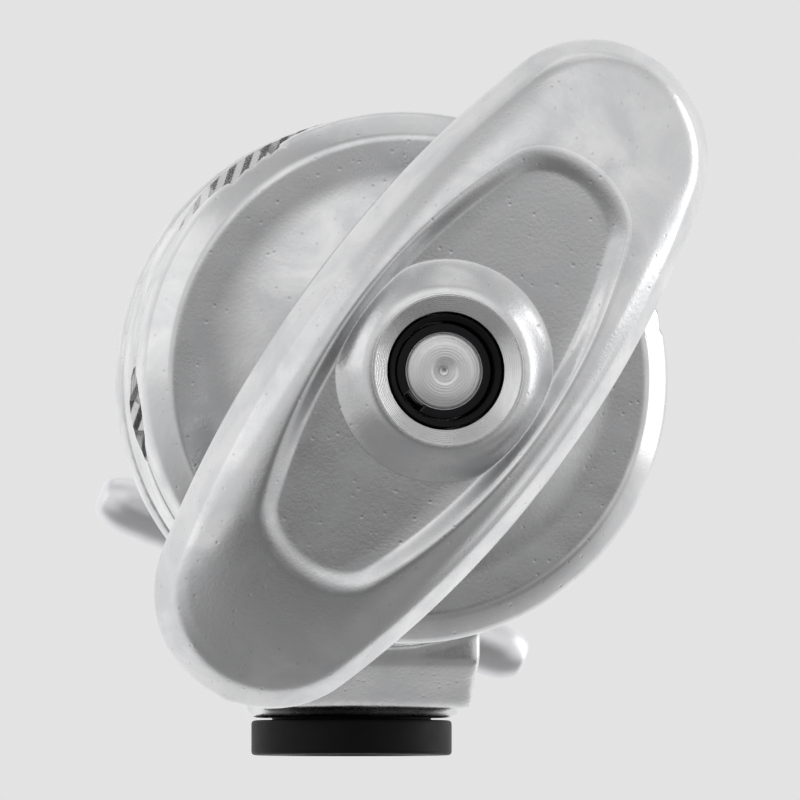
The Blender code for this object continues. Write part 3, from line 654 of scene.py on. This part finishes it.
def foot_ring():
    """The black ring at the mouth, with a collar that sits up inside the casting."""
    points = (
        (FOOT_BORE, 0, 0.4),
        (FOOT_RADIUS, 0, 0.5),
        (FOOT_RADIUS, FOOT_THICKNESS, 0.5),
        (FOOT_COLLAR, FOOT_THICKNESS, 0.1),
        (FOOT_COLLAR, FOOT_COLLAR_TOP, 0.3),
        (FOOT_BORE, FOOT_COLLAR_TOP, 0.3),
    )
    bm = revolve(points, 128, closed=True)
    return piece("foot_ring_v", bm, MOUTH, [NYLON], "body", ["foot_ring"])


def clamp_stud():
    """The stud: rolled thread along its length, a ring groove and a centre mark at its bright end."""
    neck = STUD_RADIUS - STUD_GROOVE
    points = (
        (0, STUD_BACK, 0),
        (STUD_RADIUS, STUD_BACK, 0.9),
        (STUD_RADIUS, RING_BACK - 0.2, 0.1),
        (neck, RING_BACK - 0.2, 0.1),
        (neck, RING_FRONT + 0.2, 0.1),
        (STUD_RADIUS - 0.1, RING_FRONT + 0.2, 0.1),
        (STUD_RADIUS - 0.1, STUD_FRONT - 0.75, 0.2),
        (STUD_RADIUS - 1.5, STUD_FRONT - 0.05, 0.5),
        (1.5, STUD_FRONT, 0.3),
        (0.5, STUD_FRONT - 1.1, 0.2),
        (0, STUD_FRONT - 1.2, 0),
    )
    bm = threaded(points, STUD_PITCH, FIXED_FACE + 1, RING_BACK - 1.6, 0.85)
    for face in bm.faces:
        if face.calc_center_median().z > RING_FRONT:
            face.material_index = 1
    return piece("clamp_stud_v", bm, CLAMP, [PLATED, FACED], "body", ["clamp_stud"], 40)


def stud_pin():
    """A rolled spring pin: a split tube with chamfered ends."""
    bm = bmesh.new()
    half = PIN_HALF_LENGTH
    steps = 40
    opening = math.radians(14)
    sweep = TURN - opening
    lower = ((0.9, -half), (1.25, -half), (1.5, -half + 0.8))
    section = lower + tuple((r, -z) for r, z in reversed(lower))
    rings = []
    for i in range(steps + 1):
        angle = opening / 2 + sweep * i / steps
        rings.append([bm.verts.new((r * math.cos(angle), r * math.sin(angle), z)) for r, z in section])
    join_rings(bm, rings)
    bm.faces.new(rings[0])
    bm.faces.new(rings[-1])
    place = across_neck(0, TURN / 4)
    return piece("stud_pin_v", bm, place, [STEEL], "body", ["stud_pin"])


def friction_disc():
    """The flat ring of brake lining between the casting and the rear jaw."""
    points = ring_points(6, 23, FRICTION_BACK, FRICTION_FRONT, 0.25)
    bm = revolve(points, 128, closed=True)
    return piece("friction_disc_v", bm, CLAMP, [LINING], "body", ["friction_disc"])


# ---------------------------------------------------------------- jaws


def groove_tool(level, direction, groove):
    """A V with a flat floor, right across a jaw's face at this level, with teeth across its length."""
    offset, half_width, depth, turn = groove
    flat = half_width - depth
    reach = DISC_RADIUS + 2
    count = round(2 * reach / (TOOTH_PITCH / 2))
    bm = bmesh.new()
    rings = []
    for k in range(count + 1):
        along = -reach + 2 * reach * k / count
        tooth = TOOTH_DEPTH * TOOTH_SPREAD if k % 2 else 0.0
        section = (
            (-half_width - 3, -direction * 3),
            (-half_width - tooth, 0),
            (-flat - tooth, direction * (depth + tooth)),
            (flat + tooth, direction * (depth + tooth)),
            (half_width + tooth, 0),
            (half_width + 3, -direction * 3),
        )
        rings.append([bm.verts.new((along, offset + u, level + v)) for u, v in section])
    join_rings(bm, rings)
    bm.faces.new(rings[0])
    bm.faces.new(rings[-1])
    for face in bm.faces:
        face.material_index = 1
    return tool("groove", bm, CLAMP @ Matrix.Rotation(JAW_TILT + turn, 4, "Z"))


def rear_jaw():
    """The jaw against the lining: a plain disc with turned faces and the spring's seat."""
    points = (
        (JAW_BORE, REAR_BACK, 0.3),
        (24.5, REAR_BACK, 0.2),
        (DISC_RADIUS - 1.4, REAR_BACK, 0.6),
        (DISC_RADIUS, REAR_BACK + 1.4, 0.8),
        (DISC_RADIUS, REAR_FACE, 0.7),
        (SPRING_SEAT, REAR_FACE, 0.3),
        (SPRING_SEAT, REAR_FACE - SEAT_DEPTH, 0.2),
        (JAW_BORE, REAR_FACE - SEAT_DEPTH, 0.2),
    )

    def slot_of(p):
        return 1 if Vector((p.x, p.y)).length < DISC_RADIUS - 0.9 else 0

    bm = revolve(points, 192, closed=True, slot_of=slot_of)
    jaw = piece("rear_jaw_v", bm, CLAMP, (CAST_JAW, TURNED))
    combine(jaw, [groove_tool(REAR_FACE, -1, groove) for groove in GROOVES])
    shade(jaw, 30)
    settle(jaw, "rear_jaw", ["rear_jaw"])
    return jaw


def front_jaw():
    """The round plate behind the handle: satin dome, turned boss and a bright bevelled rim."""
    flat = DISC_RADIUS - RIM_BEVEL
    dome_top = BOSS_RADIUS + 0.5
    dome = []
    steps = 22
    for i in range(steps + 1):
        share = i / steps
        radius = DOME_RADIUS + (dome_top - DOME_RADIUS) * share
        rise = 0.9 * DOME_RISE * share * share * (3 - 2 * share)
        dome.append((radius, FRONT_EDGE + rise, 0))
    points = (
        (JAW_BORE, FRONT_BOSS, 0.4),
        (JAW_BORE, FRONT_FACE + SEAT_DEPTH, 0.2),
        (SPRING_SEAT, FRONT_FACE + SEAT_DEPTH, 0.2),
        (SPRING_SEAT, FRONT_FACE, 0.3),
        (DISC_RADIUS, FRONT_FACE, 0.7),
        (DISC_RADIUS, FRONT_EDGE - RIM_BEVEL, 0.9),
        (flat, FRONT_EDGE, 0.7),
        *dome,
        (BOSS_RADIUS, FRONT_BOSS - 0.3, 0),
        (BOSS_RADIUS, FRONT_BOSS, 0.3),
    )

    def slot_of(p):
        away = Vector((p.x, p.y)).length
        if flat < away < DISC_RADIUS - 0.05 and p.z > FRONT_EDGE - RIM_BEVEL:
            return 2
        if away < BOSS_RADIUS + 0.3 or p.z < FRONT_FACE + 0.3:
            return 1
        return 0

    bm = revolve(points, 224, closed=True, slot_of=slot_of)
    jaw = piece("front_jaw_v", bm, CLAMP, (CAST_JAW, TURNED, JAW_RIM))
    combine(jaw, [groove_tool(FRONT_FACE, 1, groove) for groove in GROOVES])
    shade(jaw, 30)
    settle(jaw, "front_jaw", ["front_jaw"])
    return jaw


def jaw_spring():
    """A wound spring with closed end coils, from the rear jaw's seat to the front jaw's seat."""
    wire = 1.3
    coil_radius = 6.3
    start = REAR_FACE - SEAT_DEPTH + 0.1 + wire / 2
    end = FRONT_FACE + SEAT_DEPTH - 0.1 - wire / 2
    coils = 5
    end_pitch = 1.45
    middle = (end - start - 2 * end_pitch) / (coils - 2)
    steps = 40
    bm = bmesh.new()
    rings = []
    for i in range(coils * steps + 1):
        turn = i / steps
        first = min(turn, 1)
        last = max(turn - coils + 1, 0)
        height = start + end_pitch * (first + last) + middle * (turn - first - last)
        out = Vector((math.cos(TURN * turn), math.sin(TURN * turn), 0))
        up = Vector((0, 0, 1))
        centre = out * coil_radius + up * height
        angles = [TURN * k / 14 for k in range(14)]
        ring = [centre + (out * math.cos(a) + up * math.sin(a)) * wire / 2 for a in angles]
        rings.append([bm.verts.new(p) for p in ring])
    join_rings(bm, rings)
    bm.faces.new(rings[0])
    bm.faces.new(rings[-1])
    spring = piece("jaw_spring_v", bm, CLAMP, [STEEL])
    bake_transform(spring)
    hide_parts("jaw_spring")
    return spring


# ---------------------------------------------------------------- thrust bearing


ROLLER_RADIUS = 1.2
ROLLER_HALF = 2.2
CAGE_BORE = 5.7


def thrust_bearing():
    """Two ground races and a brass cage with a pocket for each roller."""
    for node, back, front, body in (
        ("rear_race", REAR_RACE, REAR_RACE_FRONT, "thrust_race"),
        ("front_race", FRONT_RACE, FRONT_RACE_FRONT, "handle"),
    ):
        bm = revolve(ring_points(JAW_BORE, RACE_RADIUS, back, front, 0.3), 128, closed=True)
        piece(node + "_v", bm, CLAMP, [GROUND], body, [node])
    points = ring_points(CAGE_BORE, half_height("roller_cage"), CAGE_BACK, CAGE_FRONT, 0.25)
    cage = piece("roller_cage_v", revolve(points, 128, closed=True), CLAMP, [BRASS])
    for i in range(1, 11):
        node = f"roller_{i:02d}"
        low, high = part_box(node)
        centre = (low + high) / 2
        seen = CLAMP.inverted() @ centre
        turn = math.atan2(seen.y, seen.x)
        place = CLAMP @ Matrix.Translation((seen.x, seen.y, seen.z)) @ Matrix.Rotation(turn, 4, "Z")
        lying = place @ Matrix.Rotation(TURN / 4, 4, "Y")
        long, wide = ROLLER_HALF + 0.25, ROLLER_RADIUS + 0.2
        box = prism(((-long, -wide), (long, -wide), (long, wide), (-long, wide)), -3, 3)
        combine(cage, [tool("pocket", box, place)])
        ends = (
            (0, -ROLLER_HALF, 0),
            (ROLLER_RADIUS, -ROLLER_HALF, 0.25),
            (ROLLER_RADIUS, ROLLER_HALF, 0.25),
            (0, ROLLER_HALF, 0),
        )
        roller = revolve(ends, 40)
        piece(node + "_v", roller, lying, [GROUND], "bearing_cage", [node], stand=CLAMP)
    shade(cage, 30)
    settle(cage, "bearing_cage", ["roller_cage"])


# ---------------------------------------------------------------- handle

WING_LENGTH = 46.5
WING_WIDTH = 18.8
TIP_RADIUS = 14.3
BACK_DROP = 4.0
FRONT_DROP = 7.0
WING_BACK = HUB_BACK + 7.5
RIM_FRONT = HUB_BACK + 18
WALL_DRAFT = 2.2
RIM_WIDTH = 5.2
RIM_SLOPE = 2.6
RIM_BULGE = 0.3
CREST_WIDTH = 0.3
POCKET = 2.0
POCKET_WALL = 2.1
POCKET_STRETCH = 0.74
FLOOR_STRETCH = 0.7
FLOOR_BEND = 0.45
SLOPE_STEPS = 12
WALL_STEPS = 10
HUB_RADIUS = 11.2
HUB_TOP = 9.6
HUB_CONE = 13.2
COUNTERBORE = 7.0
MOUTH_SINK = 1.6
MOUTH_WIDENING = 1.8
NUT_FLATS = 14.0
NUT_POCKET_FLATS = 14.6
NUT_BORE = 5.05
SLEEVE_RADIUS = 6.7
SLEEVE_BORE = 5.95
WEB_FRONT = SLEEVE_BACK - 0.3


def wing_outline(inset, count=16):
    """The handle's outline, moved inwards: two long arcs that run into two tip arcs."""
    reach = WING_LENGTH - TIP_RADIUS
    side = (reach**2 + WING_WIDTH**2 - TIP_RADIUS**2) / (2 * (WING_WIDTH - TIP_RADIUS))
    centre = WING_WIDTH - side
    meet = math.atan2(-centre, reach)
    half = []
    for i in range(count):
        angle = meet * i / count
        tip = TIP_RADIUS - inset
        half.append((reach + tip * math.cos(angle), tip * math.sin(angle)))
    long_count = 4 * count
    for i in range(long_count + 1):
        angle = meet + (math.pi - 2 * meet) * i / long_count
        half.append(((side - inset) * math.cos(angle), centre + (side - inset) * math.sin(angle)))
    half += [(-x, y) for x, y in reversed(half[:count])]
    return half + [(x, -y) for x, y in reversed(half[1:-1])]


def wing_section():
    """The wing's edge as levels from its back to its pocket floor.

    Each level is (inset, height, share of the length, share of the bend towards the tips). The floor
    bends back less than the rim, so that the pockets run out to nothing at their ends.
    """
    back = (
        (6.0, WING_BACK, 0),
        (1.6, WING_BACK, 1.8),
        (0.0, WING_BACK + 2.4, 1.8),
        (WALL_DRAFT, RIM_FRONT - RIM_SLOPE, 1.2),
        (WALL_DRAFT + 0.9, RIM_FRONT - RIM_SLOPE + 0.78, 0),
    )
    levels = [(p.x, p.y, 1.0, 1.0) for p in rounded(back, steps=5)]
    foot_inset, foot_height = levels[-1][:2]
    for i in range(1, SLOPE_STEPS + 1):
        share = i / SLOPE_STEPS
        bulge = RIM_BULGE * math.sin(math.pi * share)
        inset = foot_inset + (RIM_WIDTH - foot_inset) * share
        height = foot_height + (RIM_FRONT - foot_height) * share + bulge
        levels.append((inset, min(height, RIM_FRONT), 1 + (POCKET_STRETCH - 1) * share, 1.0))
    crest = RIM_WIDTH + CREST_WIDTH
    for i in range(WALL_STEPS + 1):
        share = i / WALL_STEPS
        fall = share * share * (3 - 2 * share)
        stretch = POCKET_STRETCH + (FLOOR_STRETCH - POCKET_STRETCH) * share
        bend = 1 + (FLOOR_BEND - 1) * fall
        levels.append((crest + POCKET_WALL * share, RIM_FRONT - POCKET * fall, stretch, bend))
    return levels


CREST_LEVEL = len(wing_section()) - WALL_STEPS - 1


def fill_across(bm, ring, steps=8):
    """Closes a wing-shaped ring with strips that run across it."""
    count = len(ring)
    lines = []
    for i in range(count // 2 + 1):
        first = ring[i]
        last = ring[-i % count]
        if first is last:
            lines.append([first])
            continue
        line = [first]
        for k in range(1, steps):
            line.append(bm.verts.new(first.co.lerp(last.co, k / steps)))
        line.append(last)
        lines.append(line)
    for one, two in zip(lines, lines[1:]):
        for k in range(steps):
            corners = [
                one[min(k, len(one) - 1)],
                one[min(k + 1, len(one) - 1)],
                two[min(k + 1, len(two) - 1)],
                two[min(k, len(two) - 1)],
            ]
            corners = list(dict.fromkeys(corners))
            if len(corners) > 2:
                bm.faces.new(corners)


def hexagon(flats):
    """Corners of a hexagon, from the distance across its flats."""
    corner = flats / math.sqrt(3)
    return [(corner * math.cos(TURN * i / 6), corner * math.sin(TURN * i / 6)) for i in range(6)]


def wing_handle():
    """A cast wing with an outward-sloping rim, two sunk pockets, a rubbed crest and a coned hub."""
    bm = bmesh.new()
    rings = []
    thick = RIM_FRONT - WING_BACK
    for inset, height, share, bend in wing_section():
        lean = (BACK_DROP + (FRONT_DROP - BACK_DROP) * (height - WING_BACK) / thick) * bend
        ring = []
        for x, y in wing_outline(inset):
            drop = lean * (x * share / WING_LENGTH) ** 2
            ring.append(bm.verts.new((x * share, y, height - drop)))
        rings.append(ring)
    join_rings(bm, rings)
    rubbed = set(rings[CREST_LEVEL - 1] + rings[CREST_LEVEL] + rings[CREST_LEVEL + 1])
    for face in bm.faces:
        if all(vert in rubbed for vert in face.verts):
            face.material_index = 1
    fill_across(bm, rings[0])
    fill_across(bm, rings[-1])
    # the wing's own frame: x along its length, y across it
    axis = CLAMP @ Matrix.Rotation(HANDLE_TILT, 4, "Z")
    handle = piece("wing_handle_v", bm, axis, (CAST, POLISHED, TURNED), stand=CLAMP)
    floor = RIM_FRONT - POCKET
    hub = (
        (0, HUB_BACK, 0),
        (HUB_RADIUS, HUB_BACK, 0.5),
        (HUB_RADIUS, WING_BACK - 0.1, 1.2),
        (HUB_CONE + 0.4, WING_BACK + 0.6, 0),
        (HUB_CONE + 0.4, floor - 0.4, 0),
        (HUB_CONE - 0.9, floor + 0.3, 1.2),
        (HUB_TOP, HUB_FRONT, 0.9),
        (0, HUB_FRONT, 0),
    )

    def slot_of(p):
        return 2 if p.z > HUB_FRONT - 0.05 or p.z < HUB_BACK + 0.05 else 0

    combine(handle, [tool("hub", revolve(hub, 128, slot_of=slot_of), axis)], "UNION")
    nut_pocket = prism(hexagon(NUT_POCKET_FLATS), HUB_BACK - 2, NUT_FRONT + 0.3)
    widest = COUNTERBORE + MOUTH_WIDENING / MOUTH_SINK * (MOUTH_SINK + 1)
    mouth = (
        (0, HUB_FRONT - MOUTH_SINK, 0),
        (COUNTERBORE, HUB_FRONT - MOUTH_SINK, 0),
        (widest, HUB_FRONT + 1, 0),
        (0, HUB_FRONT + 1, 0),
    )
    cutters = (
        ("nut_pocket", nut_pocket),
        ("web_hole", rod(NUT_BORE, HUB_BACK, HUB_FRONT, 64, 2)),
        ("counterbore", rod(COUNTERBORE, WEB_FRONT, HUB_FRONT + 2, 128, 2)),
        ("mouth", revolve(mouth, 128, slot_of=lambda p: 2)),
    )
    combine(handle, [tool(name, bm, axis) for name, bm in cutters])
    shade(handle, 22)
    settle(handle, "handle", ["wing_handle"])

    bm = prism(hexagon(NUT_FLATS), NUT_BACK, NUT_FRONT)
    nut = piece("handle_nut_v", bm, axis, [STEEL], stand=CLAMP)
    combine(nut, [tool("bore", rod(NUT_BORE, NUT_BACK - 2, NUT_FRONT + 2, 64), axis)])
    settle(nut, "handle", ["handle_nut"])

    # The black nylon sleeve lining the counterbore. It is a sleeve, and its black is also painted shade:
    # it stands in for the counterbore's shaded inner wall around the stud's end.
    sleeve_with_painted_shade = (
        (SLEEVE_BORE, SLEEVE_BACK, 0.15),
        (SLEEVE_RADIUS, SLEEVE_BACK, 0.15),
        (SLEEVE_RADIUS, SLEEVE_FRONT, 0.2),
        (SLEEVE_RADIUS - 0.3, SLEEVE_FRONT, 0.15),
        (SLEEVE_BORE, SLEEVE_FRONT - 0.5, 0.15),
    )
    bm = revolve(sleeve_with_painted_shade, 128, closed=True)
    piece("hub_sleeve_painted_shade_v", bm, CLAMP, [NYLON], "handle", ["hub_sleeve"])


RING_OPENING_TURN = 225
RING_OPENING_HALF = 1.3


def retaining_ring():
    """An open ring in the stud's end groove."""
    inner = STUD_RADIUS - STUD_GROOVE + 0.3
    outer = half_height("retaining_ring")
    points = ring_points(inner, outer, RING_BACK, RING_FRONT, 0.15)
    ring = piece("retaining_ring_v", revolve(points, 96, closed=True), CLAMP, [OXIDE])
    turn = CLAMP @ Matrix.Rotation(math.radians(RING_OPENING_TURN), 4, "Z")
    half = RING_OPENING_HALF
    slot = prism(((0, -half), (9, -half), (9, half), (0, half)), RING_BACK - 2, RING_FRONT + 2)
    combine(ring, [tool("slot", slot, turn)])
    shade(ring, 30)
    settle(ring, "body", ["retaining_ring"])


# ---------------------------------------------------------------- lock screw

SCREW_RADIUS = 3.9
SCREW_HEAD = 25.5
BAR_HALF_LENGTH = 28.0
BAR_RADIUS = 3.6
BAR_WAIST = 0.25
BAR_TILT = math.radians(21)


def lock_screw():
    """The threaded screw and its sliding T-bar, with the brass pad at the screw's tip."""
    pad_low, pad_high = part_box("pressure_pad")
    pad_face = pad_low.y / MM
    pad_end = pad_high.y / MM
    shoulder = pad_end + 0.3
    radius = SCREW_RADIUS
    head = SCREW_HEAD
    end = tip_high.y / MM
    points = (
        (0, shoulder - 1.8, 0),
        (1.6, shoulder - 1.8, 0.3),
        (1.6, shoulder, 0.1),
        (radius - 0.6, shoulder, 0.1),
        (radius, shoulder + 0.6, 0.1),
        (radius, head, 0.2),
        (5.4, head, 0.3),
        (6.5, head + 1.0, 0.6),
        (6.5, end - 2.0, 1.6),
        (4.2, end, 1.6),
        (0, end, 0),
    )
    bm = threaded(points, SCREW_PITCH, shoulder + 0.6, head - 0.4, 0.68, 64)
    screw = piece("lock_screw_v", bm, SCREW, [PLATED], sharp=40)
    low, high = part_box("lock_tbar")
    length = BAR_HALF_LENGTH
    thick = BAR_RADIUS
    waist = thick - BAR_WAIST
    middle = SCREW @ Matrix.Translation((0, 0, (low.y + high.y) / 2))
    across = middle @ Matrix.Rotation(BAR_TILT, 4, "Z") @ Matrix.Rotation(TURN / 4, 4, "Y")
    combine(screw, [tool("bar_hole", rod(thick + 0.05, -12, 12, 72), across)])
    shade(screw, 40)
    settle(screw, "tscrew", ["lock_screw"])
    bar = (
        (0, -length, 0),
        (thick * 0.62, -length, 0.9),
        (thick, -length + 2.6, 2.2),
        (thick, -7.6, 0.2),
        (waist, -7.2, 0.2),
        (waist, 7.2, 0.2),
        (thick, 7.6, 0.2),
        (thick, length - 2.6, 2.2),
        (thick * 0.62, length, 0.9),
        (0, length, 0),
    )
    bm = revolve(bar, 72)
    piece("lock_tbar_v", bm, across, [SATIN], "tscrew", ["lock_tbar"], stand=SCREW)
    pad = (
        (0, pad_face, 0),
        (3.7, pad_face, 0.5),
        (3.7, pad_end, 0.2),
        (1.9, pad_end, 0.1),
        (1.9, pad_end - 1.8, 0.1),
        (0, pad_end - 1.8, 0),
    )
    piece("pressure_pad_v", revolve(pad, 64), SCREW, [BRASS], "pad", ["pressure_pad"])


# ---------------------------------------------------------------- studio

PALE = 0.768
VIEW_AZIMUTH = math.radians(-9.0)
VIEW_ELEVATION = math.radians(-1.5)
VIEW_DISTANCE = 3.0
AIM_FORWARD = 0.02
FRAME_FILL = 0.9
SENSOR = 36
FLOOR_DROP = 0.32
FLOOR_HALF = 6000
FLOOR_CELLS = 12

# Tones of the studio in reflections, from straight down (0) through the horizon (0.5) to straight up (1)
FRONT_TONES = (
    (0.0, 0.34),
    (0.2, 0.31),
    (0.36, 0.17),
    (0.46, 0.19),
    (0.52, 0.4),
    (0.6, 0.5),
    (0.7, 1.0),
    (0.85, 1.0),
    (1.0, 0.45),
)
SIDE_TONES = ((0.0, 0.26), (0.2, 0.3), (0.31, 0.6), (0.42, 0.78), (0.7, 0.8), (1.0, 0.5))
BACK_TONES = ((0.0, 0.8), (0.28, 1.05), (0.52, 1.0), (0.75, 0.95), (1.0, 0.7))
# Where the front gives way to the sides, and both to the back
ASIDE_SHARES = ((0.22, 0.0), (0.72, 1.0))
BACK_SHARES = ((0.42, 0.0), (0.7, 1.0))

# Area lights: name, place, size, radiance
SOFTBOXES = (
    ("key_right", (2.1, 0.1, 0.4), (1.4, 1.9), 1.25),
    ("fill_left", (-2.0, -0.3, 0.9), (1.4, 1.8), 0.35),
    ("top", (0.2, 0.2, 2.2), (1.8, 1.4), 0.3),
)
LIT_POINT = Vector((0, -0.04, 0))


def softbox(name, location, size, radiance):
    data = bpy.data.lights.new(name, "AREA")
    data.shape = "RECTANGLE"
    data.size, data.size_y = size
    data.energy = radiance * math.pi * size[0] * size[1]
    light = bpy.data.objects.new(name, data)
    bpy.context.scene.collection.objects.link(light)
    light.location = location
    away = Vector(location) - LIT_POINT
    light.rotation_euler = away.to_track_quat("Z", "Y").to_euler()


def world():
    """Pale to the camera; in reflections a studio with a dark camera side and a lighter ceiling."""
    made = bpy.data.worlds.new("studio")
    bpy.context.scene.world = made
    nodes = Nodes(made)

    def share_of(value):
        values = {"Value": value, "From Min": -1.0, "From Max": 1.0}
        return nodes.add("ShaderNodeMapRange", values).outputs[0]

    def tones(value, stops):
        return nodes.ramp(value, *stops, interpolation="EASE")

    way = nodes.add("ShaderNodeTexCoord").outputs["Generated"]
    parts = nodes.add("ShaderNodeSeparateXYZ", {0: way}).outputs
    up = share_of(parts["Z"])
    aside = nodes.math("ABSOLUTE", parts["X"])
    facing = nodes.mix(tones(aside, ASIDE_SHARES), tones(up, FRONT_TONES), tones(up, SIDE_TONES))
    mixed = nodes.mix(tones(share_of(parts["Y"]), BACK_SHARES), facing, tones(up, BACK_TONES))
    seen = nodes.add("ShaderNodeLightPath").outputs["Is Camera Ray"]
    shown = nodes.mix(seen, mixed, (PALE, PALE, PALE))
    background = nodes.add("ShaderNodeBackground", {"Color": shown, "Strength": 1.0})
    nodes.add("ShaderNodeOutputWorld", {"Surface": background.outputs[0]})


def floor():
    """A wide pale sheet below the bracket, which leaves no reflection of its own on the metal."""
    bm = bmesh.new()
    lines = [FLOOR_HALF * (2 * i / FLOOR_CELLS - 1) for i in range(FLOOR_CELLS + 1)]
    grid = [[bm.verts.new((x, y, 0)) for y in lines] for x in lines]
    for i in range(FLOOR_CELLS):
        for j in range(FLOOR_CELLS):
            bm.faces.new((grid[i][j], grid[i + 1][j], grid[i + 1][j + 1], grid[i][j + 1]))
    place = Matrix.Translation((0, 0, foot_low.z - FLOOR_DROP))
    sheet = piece("floor", bm, place, [floor_look("pale_floor")])
    sheet.visible_glossy = False


def camera():
    """Aimed at the middle of the bracket as it is seen, from a little to the left and below."""
    right = Vector((math.cos(VIEW_AZIMUTH), math.sin(VIEW_AZIMUTH), 0))
    flat = math.cos(VIEW_ELEVATION)
    back = Vector(
        (
            math.sin(VIEW_AZIMUTH) * flat,
            -math.cos(VIEW_AZIMUTH) * flat,
            math.sin(VIEW_ELEVATION),
        )
    )
    up = back.cross(right)
    points = [v.co for node in frame["nodes"].values() for v in node.data.vertices]
    spread = [[p.dot(axis) for p in points] for axis in (right, up)]
    middles = [(min(s) + max(s)) / 2 for s in spread]
    extent = max(max(s) - min(s) for s in spread)
    centre = right * middles[0] + up * middles[1] + back * AIM_FORWARD
    data = bpy.data.cameras.new("camera")
    data.sensor_width = SENSOR
    data.lens = SENSOR * VIEW_DISTANCE / (extent / FRAME_FILL)
    data.clip_start = 0.1
    data.clip_end = 50
    seen_from = bpy.data.objects.new("camera", data)
    bpy.context.scene.collection.objects.link(seen_from)
    seen_from.location = centre + back * VIEW_DISTANCE
    seen_from.rotation_euler = back.to_track_quat("Z", "Y").to_euler()
    bpy.context.scene.camera = seen_from
    bpy.context.scene.view_settings.view_transform = "Standard"


body_casting()
foot_ring()
clamp_stud()
stud_pin()
friction_disc()
rear_jaw()
front_jaw()
jaw_spring()
thrust_bearing()
wing_handle()
retaining_ring()
lock_screw()
world()
floor()
for light in SOFTBOXES:
    softbox(*light)
camera()
